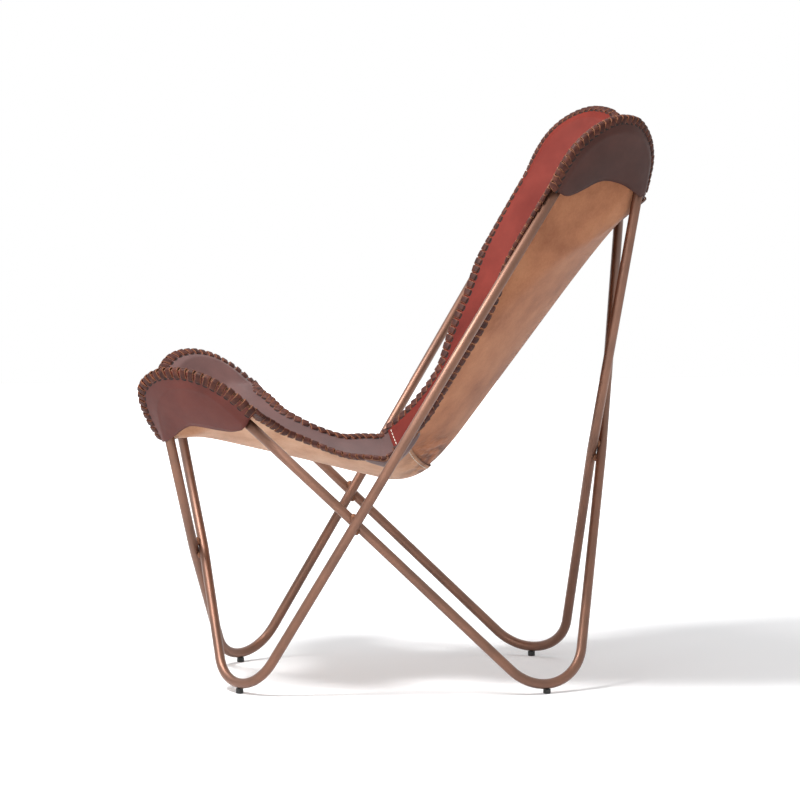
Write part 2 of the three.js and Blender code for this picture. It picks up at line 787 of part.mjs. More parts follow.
function sidePlace(sign, run) {
  const points = sideCurves[sign];
  const next = Math.max(1, points.findIndex((p) => p.y >= run));
  const [a, b] = [points[next - 1], points[next]];
  return a.clone().lerp(b, (run - a.y) / (b.y - a.y));
}

// One line of places at a side edge, from its inset to the edge
function sideLine(sign, run) {
  const edge = sidePlace(sign, run);
  const ahead = sidePlace(sign, run + 1).sub(sidePlace(sign, run - 1)).normalize();
  const inset = edge.clone().add(place(-sign * ahead.y, sign * ahead.x).multiplyScalar(SIDE_INSET));
  inset.y = THREE.MathUtils.lerp(inset.y, edge.y, THREE.MathUtils.smoothstep(run, 0, BACK_HEM / 2));
  if (run > SEAT_END) inset.y = run;
  return sideRingShares.map((share) => inset.clone().lerp(edge, share));
}

// One line of places at the free edge between the ears
function freeLine(edgeCurve, t, turn) {
  const edge = edgeCurve.getPointAt(t);
  const ahead = edgeCurve.getTangentAt(t);
  const inset = edge.clone().add(place(-ahead.y, ahead.x).multiplyScalar(turn * SIDE_INSET));
  return sideRingShares.map((share) => inset.clone().lerp(edge, share));
}

// Lines of places round one half of a panel, from its seam along the side, round the ear and to the middle
function halfLines(end, sign, middle) {
  const { shares, toPlace } = lobes[end];
  const ear = earFor(end, sign);
  const outer = shares[shares.length - 1][0];
  const inner = shares[0][0];
  const lines = rowRuns(end, sign).map((run) => sideLine(sign, run));
  for (const share of outerLobeShares) lines.push(lobeLine(ear, outer * share, lobes[end]));
  for (const share of innerLobeShares) lines.push(lobeLine(ear, inner * share, lobes[end]));
  const tip = lines[lines.length - 1][3];
  const otherTip = toPlace(earEdge(end, -sign, -1));
  const free = new THREE.SplineCurve([tip, middle, otherTip]);
  const turn = end === "front" ? -sign : sign;
  for (let i = 1; i <= FREE_STEPS; i++) {
    lines.push(freeLine(free, i / (2 * FREE_STEPS), turn));
  }
  return lines;
}

// The grid of one panel: an inner grid that spans from the seam to the ears, and rings out to its edge. The
// rows run from side to side, the first of them at the seam.
function panelPlaces(end, middle) {
  const rightHalf = halfLines(end, -1, middle);
  const leftHalf = halfLines(end, 1, middle);
  const rowCount = rowRuns(end, 1).length + outerLobeShares.length;
  const path = [...rightHalf, ...leftHalf.slice(0, -1).reverse()];
  const inner = [];
  const first = path[rowCount - 1][0];
  const bare = path[lapRows.length - 1][0].y;
  const last = path[path.length - rowCount][0];
  for (let j = 0; j < rowCount; j++) {
    const row = [];
    const follow = Math.max(0, (path[j][0].y - bare) / (first.y - bare));
    for (let i = 0; i <= COLUMNS; i++) {
      const t = i / COLUMNS;
      const across = path[j][0].clone().lerp(path[path.length - 1 - j][0], t);
      const bow = path[rowCount - 1 + i][0].clone().sub(first.clone().lerp(last, t));
      row.push(across.addScaledVector(bow, follow));
    }
    inner.push(row);
  }
  return { path, inner, rowCount };
}

// Faces and rim of a panel's grid, as numbers of its points: inner rows first, then the rings along the path
function panelMesh({ path, inner, rowCount }, forward) {
  const places = inner.flat();
  const innerAt = (j, i) => j * (COLUMNS + 1) + i;
  const pathAt = (k, ring) => {
    if (ring > 0) return places.length + (ring - 1) * path.length + k;
    if (k < rowCount) return innerAt(k, 0);
    if (k < rowCount + COLUMNS) return innerAt(rowCount - 1, k - rowCount + 1);
    return innerAt(path.length - 1 - k, COLUMNS);
  };
  const faces = [];
  const quad = (a, b, c, d) => faces.push([a, b, c], [a, c, d]);
  for (let j = 0; j + 1 < rowCount; j++) {
    for (let i = 0; i < COLUMNS; i++) {
      quad(innerAt(j, i), innerAt(j, i + 1), innerAt(j + 1, i + 1), innerAt(j + 1, i));
    }
  }
  const rings = sideRingShares.length;
  for (let ring = 0; ring + 1 < rings; ring++) {
    for (let k = 0; k + 1 < path.length; k++) {
      quad(pathAt(k, ring), pathAt(k + 1, ring), pathAt(k + 1, ring + 1), pathAt(k, ring + 1));
    }
  }
  const rim = path.map((line, k) => pathAt(k, rings - 1));
  for (let ring = rings - 2; ring > 0; ring--) rim.push(pathAt(path.length - 1, ring));
  for (let i = COLUMNS; i >= 0; i--) rim.push(innerAt(0, i));
  for (let ring = 1; ring < rings - 1; ring++) rim.push(pathAt(0, ring));
  for (let ring = 1; ring < rings; ring++) places.push(...path.map((line) => line[ring]));
  const edge = rim.slice(0, path.length);
  if (!forward) return { places, faces, rim: rim.reverse(), edge };
  return { places, faces: faces.map(([a, b, c]) => [a, c, b]), rim, edge };
}

// Normals of a grid of points
function meshNormals(points, faces) {
  const geometry = new THREE.BufferGeometry().setFromPoints(points);
  geometry.setIndex(faces.flat());
  geometry.computeVertexNormals();
  const normals = geometry.attributes.normal;
  return points.map((point, i) => new THREE.Vector3().fromBufferAttribute(normals, i));
}

// A closed mesh whose faces are turned to point out
function closedMesh(points, faces) {
  let volume = 0;
  for (const [a, b, c] of faces) volume += points[a].dot(points[b].clone().cross(points[c]));
  const turned = volume < 0 ? faces.map(([a, b, c]) => [a, c, b]) : faces;
  const geometry = new THREE.BufferGeometry().setFromPoints(points);
  geometry.setIndex(turned.flat());
  geometry.computeVertexNormals();
  return geometry;
}

// Leather of an even thickness on both sides of a grid of points
function sheetGeometry(points, normals, faces, rim) {
  const half = LEATHER / 2;
  const upper = points.map((point, i) => point.clone().addScaledVector(normals[i], half));
  const lower = points.map((point, i) => point.clone().addScaledVector(normals[i], -half));
  const n = points.length;
  const all = [...faces, ...faces.map(([a, b, c]) => [a + n, c + n, b + n])];
  rim.forEach((i, k) => {
    const j = rim[(k + 1) % rim.length];
    all.push([i, i + n, j + n], [i, j + n, j]);
  });
  return closedMesh([...upper, ...lower], all);
}

// A strip of four-cornered section through a list of stations
function stripGeometry(stations) {
  const sides = stations[0].length;
  const faces = [];
  for (let s = 0; s + 1 < stations.length; s++) {
    for (let i = 0; i < sides; i++) {
      const [a, b] = [s * sides + i, s * sides + ((i + 1) % sides)];
      faces.push([a, b, b + sides], [a, b + sides, a + sides]);
    }
  }
  const last = (stations.length - 1) * sides;
  for (let i = 1; i + 1 < sides; i++) {
    faces.push([0, i + 1, i], [last, last + i, last + i + 1]);
  }
  return closedMesh(stations.flat(), faces);
}

// Lacing along a stretch of a panel's edge: it wraps from over the panel to under it, or under what is
// laced below it, which lies deeper by the vector under
function addLacing(name, panel, from, to, under) {
  const points = panel.edge.slice(from, to + 1).map((i) => panel.points[i].clone());
  const normals = panel.edge.slice(from, to + 1).map((i) => panel.normals[i]);
  const last = points.length - 1;
  const outward = [];
  for (let i = 0; i < last; i++) {
    const out = points[i + 1].clone().sub(points[i]).cross(normals[i].clone().add(normals[i + 1]));
    outward.push(out.normalize().multiplyScalar(panel.outward));
  }
  const shorten = (i, j) =>
    points[i].addScaledVector(points[j].clone().sub(points[i]).normalize(), LACE_TRIM);
  shorten(0, 1);
  shorten(last, last - 1);
  const top = LEATHER / 2 + LACE_PROUD;
  const bottom = LEATHER / 2 + (under.lengthSq() > 0 ? LACE_PROUD : 0);
  const stations = points.map((point, i) => {
    const before = outward[Math.max(0, i - 1)];
    const after = outward[Math.min(last - 1, i)];
    const out = before.clone().add(after).divideScalar(1 + before.dot(after));
    out.addScaledVector(normals[i], -out.dot(normals[i]));
    const corner = (reach, height) =>
      point.clone().addScaledVector(out, reach).addScaledVector(normals[i], height);
    const below = (reach) => corner(reach, -bottom).add(under);
    return [below(LACE_GAP), below(LACE_OUT), corner(LACE_OUT, top), corner(LACE_GAP, top)];
  });
  if (panel.outward < 0) stations.reverse();
  addMesh(name, stripGeometry(stations), laceLeather);
}

// Pocket on the far side of an ear, laced to the panel round the rim and open at its mouth. Its lines run
// from the mouth to the tube, over it and out to the rim, as the panel's do on the sitter's side.
function addPocket(end, sign, panel, from, to) {
  const ear = earFor(end, sign);
  const { mouthShares, mouthHalf, mouthDepth } = lobes[end];
  const mouth = new THREE.CatmullRomCurve3(
    mouthShares.map(([across, down]) => {
      const point = ear.tip.clone().addScaledVector(ear.side, across * mouthHalf);
      return point.addScaledVector(ear.inward, down * mouthDepth);
    }),
  );
  const { shares: marginShares } = lobes[end];
  const outer = marginShares[marginShares.length - 1][0];
  const inner = marginShares[0][0];
  const outerTurns = outerLobeShares.map((share) => share * outer);
  const innerTurns = innerLobeShares.map((share) => share * inner);
  const lobeLines = [...outerTurns, ...innerTurns].map((degrees) => flatLine(ear, degrees, lobes[end]));
  const rim = panel.edge.slice(from, to + 1);
  if (sign > 0) rim.reverse();
  const last = rim.length - 1;
  const points = [];
  lobeLines.forEach((line, i) => {
    const start = mouth.getPointAt(i / last);
    const edge = line[line.length - 1];
    if (i === 0 || i === last) {
      const inside = tubeDistance(ear, start);
      const span = tubeDistance(ear, edge) - inside;
      for (const point of line) point.lerpVectors(start, edge, (tubeDistance(ear, point) - inside) / span);
    }
    const lowered = (point) => point.clone().addScaledVector(ear.up, -liftAt(tubeDistance(ear, point)));
    const meet = panel.points[rim[i]].clone().addScaledVector(ear.up, -PLY);
    const shift = meet.sub(lowered(edge));
    points.push(lowered(start));
    line.forEach((point, k) => points.push(lowered(point).addScaledVector(shift, pocketSettleShares[k])));
  });
  const width = points.length / (last + 1);
  const faces = [];
  for (let i = 0; i < last; i++) {
    for (let k = 0; k + 1 < width; k++) {
      const a = i * width + k;
      faces.push([a, a + 1, a + 1 + width], [a, a + 1 + width, a + width]);
    }
  }
  const edge = [];
  for (let k = 0; k < width; k++) edge.push(k);
  for (let i = 1; i <= last; i++) edge.push(i * width + width - 1);
  for (let k = width - 2; k >= 0; k--) edge.push(last * width + k);
  for (let i = last - 1; i > 0; i--) edge.push(i * width);
  const normals = meshNormals(points, faces);
  const facing = Math.sign(normals.reduce((sum, normal) => sum + normal.dot(ear.up), 0));
  rim.forEach((number, i) => {
    normals[i * width + width - 1].copy(panel.normals[number]).multiplyScalar(facing);
  });
  const side = sign > 0 ? "left" : "right";
  addMesh("pocket_" + end + "_" + side, sheetGeometry(points, normals, faces, edge), pocketLeather);
}

// How far the back panel is raised over the seat's surface, where it laps over the seat panel
const lapHeight = (run) => PLY * (1 - THREE.MathUtils.smoothstep(run, SEAT_END, LAP_BLEND_END));

function makePanel(grid, forward, heightAt) {
  const panel = panelMesh(grid, forward);
  panel.points = panel.places.map((at) => (at.point ? at.point.clone() : raisedPoint(at, heightAt(at.y))));
  panel.normals = meshNormals(panel.points, panel.faces);
  panel.places.forEach((at, i) => {
    if (at.normal) panel.normals[i].copy(at.normal);
  });
  panel.outward = forward ? 1 : -1;
  return panel;
}

function addSling() {
  const seatMiddle = place(0, -frontMiddleShare * SEAT_LENGTH);
  const backMiddle = place(0, topMiddleShare * BACK_LENGTH);
  const seat = makePanel(panelPlaces("front", seatMiddle), true, () => 0);
  const back = makePanel(panelPlaces("rear", backMiddle), false, lapHeight);
  addMesh("seat_panel", sheetGeometry(seat.points, seat.normals, seat.faces, seat.rim), seatLeather);
  addMesh("back_panel", sheetGeometry(back.points, back.normals, back.faces, back.rim), backLeather);
  const panels = { front: [seat, lapRows.length - 1], rear: [back, 0] };
  for (const [end, [panel, sideFrom]] of Object.entries(panels)) {
    const last = panel.edge.length - 1;
    const rimFrom = rowRuns(end, 1).length;
    const rimTo = rimFrom + LOBE_STEPS;
    const underRight = earFor(end, -1).up.clone().multiplyScalar(-PLY);
    const underLeft = earFor(end, 1).up.clone().multiplyScalar(-PLY);
    const single = new THREE.Vector3();
    addPocket(end, -1, panel, rimFrom, rimTo);
    addPocket(end, 1, panel, last - rimTo, last - rimFrom);
    addLacing("lacing_" + end + "_rim_right", panel, rimFrom, rimTo, underRight);
    addLacing("lacing_" + end + "_rim_left", panel, last - rimTo, last - rimFrom, underLeft);
    addLacing("lacing_" + end + "_free_edge", panel, rimTo, last - rimTo, single);
    const part = end === "front" ? "seat" : "back";
    addLacing("lacing_" + part + "_side_right", panel, sideFrom, rimFrom, single);
    addLacing("lacing_" + part + "_side_left", panel, last - rimFrom, last - sideFrom, single);
  }
  addPatch("right", -1);
  addPatch("left", 1);
  addStitching("seam_stitching_inside", back, 1);
  addStitching("seam_stitching_outside", seat, -1);
}

// Crescent of leather under the bend's side edge
function addPatch(side, sign) {
  const rows = [PATCH_FROM, ...rowRuns("front", sign).filter((run) => run > PATCH_FROM).reverse()];
  const points = [];
  const faces = [];
  rows.forEach((run, j) => {
    const [inset, , , edge] = sideLine(sign, run);
    const t = (2 * (run - PATCH_FROM)) / (SEAT_END - PATCH_FROM) - 1;
    const width = PATCH_TIP_W + (PATCH_W - PATCH_TIP_W) * (1 - t * t);
    const inner = edge.clone().add(inset.sub(edge).setLength(width));
    for (const share of [0, 1 / 2, 1]) points.push(raisedPoint(edge.clone().lerp(inner, share), -PLY - FIT));
    if (j === 0) return;
    for (const k of [3 * j, 3 * j + 1]) faces.push([k - 3, k - 2, k + 1], [k - 3, k + 1, k]);
  });
  const last = points.length - 3;
  const rim = [0, 1, 2];
  for (let k = 5; k <= last + 2; k += 3) rim.push(k);
  rim.push(last + 1, last);
  for (let k = last - 3; k > 0; k -= 3) rim.push(k);
  const normals = meshNormals(points, faces);
  addMesh("bend_patch_" + side, sheetGeometry(points, normals, faces, rim), pocketLeather);
}

// A row of stitching across the seam, on the sitter's side for 1 and underneath for -1
function addStitching(name, panel, side) {
  const over = LEATHER / 2 + FIT + STITCH_H / 2;
  const stations = [];
  for (let i = 0; i <= COLUMNS; i++) {
    const hem = panel.points[i];
    const along = panel.points[i + COLUMNS + 1].clone().sub(hem).normalize();
    const nextColumn = panel.points[i < COLUMNS ? i + 1 : i - 1].clone().sub(hem);
    const normal = nextColumn.cross(along).normalize();
    if (normal.dot(panel.normals[i]) < 0) normal.negate();
    const middle = hem.clone().addScaledVector(along, STITCH_FROM_HEM).addScaledVector(normal, side * over);
    const corner = (a, b) =>
      middle.clone().addScaledVector(along, (a * STITCH_W) / 2).addScaledVector(normal, (b * STITCH_H) / 2);
    stations.push([corner(-1, -1), corner(1, -1), corner(1, 1), corner(-1, 1)]);
  }
  addMesh(name, stripGeometry(stations), thread);
}

addFrame();
addSling();

const middle = new THREE.Box3().setFromObject(chair).getCenter(new THREE.Vector3());
for (const mesh of chair.children) mesh.geometry.translate(-middle.x, -middle.y, 0);

export default chair;
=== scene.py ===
import math

import bpy
import numpy as np
from mathutils import Matrix, Vector


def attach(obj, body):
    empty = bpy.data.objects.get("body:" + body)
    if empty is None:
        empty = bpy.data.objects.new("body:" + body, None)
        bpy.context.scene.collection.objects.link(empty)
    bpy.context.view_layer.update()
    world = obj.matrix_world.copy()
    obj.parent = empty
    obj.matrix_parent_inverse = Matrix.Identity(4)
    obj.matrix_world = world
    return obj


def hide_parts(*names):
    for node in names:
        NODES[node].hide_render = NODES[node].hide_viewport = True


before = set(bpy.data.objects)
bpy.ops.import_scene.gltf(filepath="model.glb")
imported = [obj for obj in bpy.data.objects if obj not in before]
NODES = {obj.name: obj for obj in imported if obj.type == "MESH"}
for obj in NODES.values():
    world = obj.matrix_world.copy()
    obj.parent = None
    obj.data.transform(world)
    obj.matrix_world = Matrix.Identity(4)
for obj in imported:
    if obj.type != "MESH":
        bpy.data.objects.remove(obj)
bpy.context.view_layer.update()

# The view of the photograph: a long lens 7 m away on the sitter's left, a little above the top of the chair.
# The chair has no cords. The layout's middle is where the CAD moved its origin to. Lengths are in millimetres
# up to the point where a mesh is made, and in metres from there on.
MM = 0.001
LAYOUT_MIDDLE = np.array([2.518, 10.929, 0.0])
EYE = np.array([7080.66, -140.28, 1058.91])
EYE_AZIMUTH = 0.02266
EYE_DROP = 0.08509
EYE_ROLL = -0.00674
LENS_PIXELS = 4345.154
PICTURE_PIXELS = 800
SENSOR_WIDTH = 36.0
SIGHT_LIMIT = 40.0


def in_metres(points):
    return (np.asarray(points, float) - LAYOUT_MIDDLE) * MM


def place_camera():
    ahead = Vector((
        -math.cos(EYE_AZIMUTH) * math.cos(EYE_DROP),
        math.sin(EYE_AZIMUTH) * math.cos(EYE_DROP),
        -math.sin(EYE_DROP),
    ))
    level = ahead.cross(Vector((0, 0, 1))).normalized()
    upright = level.cross(ahead)
    right = level * math.cos(EYE_ROLL) + upright * math.sin(EYE_ROLL)
    above = upright * math.cos(EYE_ROLL) - level * math.sin(EYE_ROLL)
    data = bpy.data.cameras.new("photo_camera")
    data.sensor_fit = "HORIZONTAL"
    data.sensor_width = SENSOR_WIDTH
    data.lens = LENS_PIXELS * SENSOR_WIDTH / PICTURE_PIXELS
    data.clip_end = SIGHT_LIMIT
    camera = bpy.data.objects.new("photo_camera", data)
    turn = Matrix((right, above, -ahead)).transposed().to_4x4()
    camera.matrix_world = Matrix.Translation(Vector(in_metres(EYE))) @ turn
    bpy.context.scene.collection.objects.link(camera)
    bpy.context.scene.camera = camera


place_camera()
bpy.context.scene.view_settings.view_transform = "Standard"

# The studio: a pale floor that keeps the chair's shadow, one small strong lamp high in front, a dim large one
# above and one beside the camera. The camera, glossy and transmission rays see the floor run out to a white
# world. The other rays get a grey world that is brightest high in front.
FLOOR_HALF = 6.0
FLOOR_TONE = (0.80, 0.80, 0.805, 1)
FLOOR_GLOW, FLOOR_GLOW_FROM, FLOOR_GLOW_TO = 0.22, 0.75, 2.2
WORLD_TONE = (0.81, 0.82, 0.835, 1)
WORLD_LIGHT_SHADE, WORLD_LIGHT_BRIGHT = 0.22, 0.92
BRIGHT_SIDE = (0.25, -0.62, 0.74)
FACING_SHADE, FACING_BRIGHT = -0.5, 1.0
LAMPS = {
    "key_lamp": {"spot": (0.85, -1.4, 2.9), "aim": (0, 0, 0.45), "size": 0.65, "power": 110},
    "top_lamp": {"spot": (-0.4, 0.4, 3.4), "aim": (0, 0, 0.3), "size": 2.6, "power": 14},
    "near_lamp": {"spot": (3.0, -1.3, 1.5), "aim": (0, 0, 0.5), "size": 1.3, "power": 24},
}


def fill(tree, node, values):
    for name, value in values.items():
        if isinstance(value, bpy.types.NodeSocket):
            tree.links.new(value, node.inputs[name])
        else:
            node.inputs[name].default_value = value


def add_node(tree, kind, output, values=None, **settings):
    node = tree.nodes.new("ShaderNode" + kind)
    for name, value in settings.items():
        setattr(node, name, value)
    fill(tree, node, values or {})
    return node.outputs[output] if output else node


def new_material(name):
    material = bpy.data.materials.new(name)
    material.use_nodes = True
    tree = material.node_tree
    return material, tree, tree.nodes["Principled BSDF"]


def mapped(tree, value, low, high, start=0.3, end=0.7, **settings):
    values = {"Value": value, "From Min": start, "From Max": end, "To Min": low, "To Max": high}
    return add_node(tree, "MapRange", "Result", values, **settings)


def seen_directly(tree):
    path = add_node(tree, "LightPath", None)
    seen = path.outputs["Is Camera Ray"]
    for ray in ("Is Glossy Ray", "Is Transmission Ray"):
        seen = add_node(tree, "Math", "Value", {0: seen, 1: path.outputs[ray]}, operation="MAXIMUM")
    return seen


def lay_floor():
    mesh = bpy.data.meshes.new("studio_floor")
    corners = [(x * FLOOR_HALF, y * FLOOR_HALF, 0) for x, y in ((-1, -1), (1, -1), (1, 1), (-1, 1))]
    mesh.from_pydata(corners, [], [(0, 1, 2, 3)])
    floor = bpy.data.objects.new("studio_floor", mesh)
    bpy.context.scene.collection.objects.link(floor)
    material, tree, shader = new_material("studio_floor")
    fill(tree, shader, {"Base Color": FLOOR_TONE, "Roughness": 0.9, "Specular IOR Level": 0.1})
    place = add_node(tree, "TexCoord", "Object")
    away = add_node(tree, "VectorMath", "Value", {0: place}, operation="LENGTH")
    glow = mapped(tree, away, FLOOR_GLOW, 1.0, FLOOR_GLOW_FROM, FLOOR_GLOW_TO)
    seen = add_node(tree, "Math", "Value", {0: glow, 1: seen_directly(tree)}, operation="MULTIPLY")
    light = add_node(tree, "Emission", "Emission", {"Strength": seen})
    both = add_node(tree, "AddShader", "Shader", {0: shader.outputs["BSDF"], 1: light})
    fill(tree, tree.nodes["Material Output"], {"Surface": both})
    floor.data.materials.append(material)


def light_studio():
    world = bpy.data.worlds.new("studio")
    bpy.context.scene.world = world
    world.use_nodes = True
    tree = world.node_tree
    tree.nodes.clear()
    place = add_node(tree, "TexCoord", "Generated")
    facing = add_node(tree, "VectorMath", "Value", {0: place, 1: BRIGHT_SIDE}, operation="DOT_PRODUCT")
    bright = mapped(tree, facing, WORLD_LIGHT_SHADE, WORLD_LIGHT_BRIGHT, FACING_SHADE, FACING_BRIGHT)
    soft = add_node(tree, "Background", "Background", {"Color": WORLD_TONE, "Strength": bright})
    white = add_node(tree, "Background", "Background", {"Color": (1, 1, 1, 1), "Strength": 1.0})
    mix = add_node(tree, "MixShader", "Shader", {"Fac": seen_directly(tree), 1: soft, 2: white})
    add_node(tree, "OutputWorld", None, {"Surface": mix})


def hang_lamp(name, spot, aim, size, power):
    data = bpy.data.lights.new(name, "AREA")
    data.shape = "SQUARE"
    data.size = size
    data.energy = power
    lamp = bpy.data.objects.new(name, data)
    lamp.location = spot
    lamp.rotation_euler = (Vector(aim) - Vector(spot)).to_track_quat("-Z", "Y").to_euler()
    bpy.context.scene.collection.objects.link(lamp)


lay_floor()
light_studio()
for name, lamp in LAMPS.items():
    hang_lamp(name, **lamp)

# The frame: two closed loops of 16 mm steel tube under a copper-brown lacquer. The legs cross and are welded
# at the front, the rear and both sides, and each of the eight corners is one cold bend. The four foot tubes
# and the four ear tubes meet in joints that the pockets hide.
FIT = 0.3
TUBE_R = 8.0
TUBE_WALL = 1.5
FRONT_BEND_R = 74.0
REAR_BEND_R = 80.0
FRONT_EAR = np.array([236.6, -329.6, 500.6])
REAR_EAR = np.array([312.4, 361.4, 899.0])
FRONT_FOOT = np.array([177.9, -242.8])
REAR_FOOT = np.array([202.3, 260.1])
GLIDE_H = 8.0
EAR_LEG = 14.0
BOW_R = 600.0
TUBE_SIDES = 28
OFF_EVERY_TUBE = (0.3, 0.2, 0.93)
COPPER = (0.168, 0.070, 0.037)
BEND_STEPS = 26
BOW_STEPS = 4
SETTLE_ROUNDS = 60
FLIP = np.array([-1.0, 1.0, 1.0])


def unit(v):
    return v / np.linalg.norm(v)


def bend_at(corner, towards_a, towards_b, r):
    a = unit(towards_a - corner)
    b = unit(towards_b - corner)
    half = math.acos(np.clip(a @ b, -1, 1)) / 2
    inward = unit(a + b)
    side = unit(a - b)
    centre = corner + inward * r / math.sin(half)
    tangent = r / math.tan(half)
    return {
        "corner": corner, "r": r, "half": half, "inward": inward, "side": side, "centre": centre,
        "leg_a": a, "leg_b": b, "tip": centre - inward * r,
        "start_a": corner + a * tangent, "start_b": corner + b * tangent,
    }


def lowest_of(bend):
    drop = unit(-bend["inward"] * bend["inward"][2] - bend["side"] * bend["side"][2])
    return bend["centre"] + drop * bend["r"]


def settle_corners():
    low = GLIDE_H + TUBE_R
    aims = {
        "front_ear": FRONT_EAR,
        "rear_ear": REAR_EAR,
        "front_foot": np.append(FRONT_FOOT, low),
        "rear_foot": np.append(REAR_FOOT, low),
    }
    corners = dict(aims)
    for _ in range(SETTLE_ROUNDS):
        tips = {}
        for name, near, across, r in (
            ("front_ear", "rear_foot", "front_foot", FRONT_BEND_R),
            ("rear_ear", "front_foot", "rear_foot", REAR_BEND_R),
            ("front_foot", "rear_ear", "front_ear", FRONT_BEND_R),
            ("rear_foot", "front_ear", "rear_ear", REAR_BEND_R),
        ):
            bend = bend_at(corners[name], corners[near], corners[across] * FLIP, r)
            tips[name] = bend["tip"]
            if name.endswith("foot"):
                tips[name] = np.append(bend["tip"][:2], lowest_of(bend)[2])
        corners = {name: corners[name] + aims[name] - tips[name] for name in aims}
    return corners


CORNERS = settle_corners()


def on_side(name, side):
    return CORNERS[name] * (1.0 if side == "left" else FLIP)


def leg_of(ear_end, ear_side, foot_end, foot_side):
    return on_side(ear_end + "_ear", ear_side), on_side(foot_end + "_foot", foot_side)


def crossing_of(outer_leg, inner_leg, outward):
    p, q = leg_of(*outer_leg)
    r, s = leg_of(*inner_leg)
    d1 = unit(q - p)
    d2 = unit(s - r)
    n = unit(np.cross(d1, d2))
    if n @ outward < 0:
        n = -n
    between = r - p
    c = d1 @ d2
    t1 = (between @ d1 - c * (between @ d2)) / (1 - c * c)
    t2 = (c * (between @ d1) - between @ d2) / (1 - c * c)
    middle = (p + d1 * t1 + r + d2 * t2) / 2
    shift = TUBE_R + FIT / 2
    return {"outer": middle + n * shift, "inner": middle - n * shift}


CROSS_FRONT = crossing_of(("front", "left", "front", "right"), ("front", "right", "front", "left"), (0, -1, 0))
CROSS_REAR = crossing_of(("rear", "right", "rear", "left"), ("rear", "left", "rear", "right"), (0, 1, 0))
CROSS_LEFT = crossing_of(("rear", "left", "front", "left"), ("front", "left", "rear", "left"), (1, 0, 0))
CROSS_RIGHT = crossing_of(("front", "right", "rear", "right"), ("rear", "right", "front", "right"), (-1, 0, 0))
EARS = {}
for end, side, side_cross, end_cross, r in (
    ("front", "left", CROSS_LEFT["inner"], CROSS_FRONT["outer"], FRONT_BEND_R),
    ("front", "right", CROSS_RIGHT["outer"], CROSS_FRONT["inner"], FRONT_BEND_R),
    ("rear", "left", CROSS_LEFT["outer"], CROSS_REAR["inner"], REAR_BEND_R),
    ("rear", "right", CROSS_RIGHT["inner"], CROSS_REAR["outer"], REAR_BEND_R),
):
    ear = bend_at(on_side(end + "_ear", side), side_cross, end_cross, r)
    ear["up"] = unit(np.cross(ear["side"], ear["inward"]))
    if ear["up"][2] < 0:
        ear["up"] = -ear["up"]
    ear["joint_a"] = ear["start_a"] + ear["leg_a"] * EAR_LEG
    ear["joint_b"] = ear["start_b"] + ear["leg_b"] * EAR_LEG
    EARS[f"{end}_{side}"] = ear


def bend_stations(bend, steps):
    reach = math.pi / 2 - bend["half"]
    angles = np.linspace(reach, -reach, steps + 1)
    points = bend["centre"] - np.outer(np.cos(angles), bend["inward"]) * bend["r"]
    points = points + np.outer(np.sin(angles), bend["side"]) * bend["r"]
    tangents = -np.outer(np.sin(angles), bend["inward"]) - np.outer(np.cos(angles), bend["side"])
    return points, tangents


def tube_route(nodes, radii, steps):
    points = [nodes[0]]
    tangents = [unit(nodes[1] - nodes[0])]
    for i, (r, count) in enumerate(zip(radii, steps), start=1):
        bent, along = bend_stations(bend_at(nodes[i], nodes[i - 1], nodes[i + 1], r), count)
        points.extend(bent)
        tangents.extend(along)
    points.append(nodes[-1])
    tangents.append(unit(nodes[-1] - nodes[-2]))
    return np.array(points), np.array(tangents)


def add_piece(name, points, faces, materials, node, finish=None):
    mesh = bpy.data.meshes.new(name)
    mesh.from_pydata(in_metres(points).tolist(), [], [list(map(int, face)) for face in faces])
    mesh.validate()
    for material in materials:
        mesh.materials.append(material)
    mesh.polygons.foreach_set("use_smooth", [True] * len(mesh.polygons))
    if finish is not None:
        mesh.polygons.foreach_set("material_index", finish)
    mesh.update()
    piece = bpy.data.objects.new(name, mesh)
    bpy.context.scene.collection.objects.link(piece)
    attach(piece, "root")
    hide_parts(node)
    return piece


def sweep_tube(points, tangents):
    across = unit(np.cross(tangents[0], OFF_EVERY_TUBE))
    turns = 2 * math.pi * np.arange(TUBE_SIDES) / TUBE_SIDES
    outer, inner = [], []
    for point, tangent in zip(points, tangents):
        across = unit(across - tangent * (across @ tangent))
        ring = np.outer(np.cos(turns), across) + np.outer(np.sin(turns), np.cross(tangent, across))
        outer.append(point + ring * TUBE_R)
        inner.append(point + ring * (TUBE_R - TUBE_WALL))
    skin = np.concatenate(outer + inner[::-1])
    count = 2 * len(points)
    faces = []
    for i in range(count):
        j = (i + 1) % count
        for k in range(TUBE_SIDES):
            m = (k + 1) % TUBE_SIDES
            faces.append((i * TUBE_SIDES + k, i * TUBE_SIDES + m, j * TUBE_SIDES + m, j * TUBE_SIDES + k))
    return skin, faces


def noise(tree, place, scale, detail=2.0, rough=0.5, stretch=None):
    values = {"Scale": scale, "Detail": detail, "Roughness": rough}
    if stretch:
        place = add_node(tree, "Mapping", "Vector", {"Vector": place, "Scale": stretch})
    if place is not None:
        values["Vector"] = place
    return add_node(tree, "TexNoise", "Fac", values)


def ramp(tree, value, stops):
    made = add_node(tree, "ValToRGB", None, {"Fac": value})
    band = made.color_ramp.elements
    while len(band) < len(stops):
        band.new(0.5)
    for element, (spot, colour) in zip(band, stops):
        element.position = spot
        element.color = colour
    return made.outputs["Color"]


def bumped(tree, shader, layers):
    values = {}
    for height, strength, depth in layers:
        values.update({"Height": height, "Strength": strength, "Distance": depth})
        values["Normal"] = add_node(tree, "Bump", "Normal", values)
    fill(tree, shader, {"Normal": values["Normal"]})


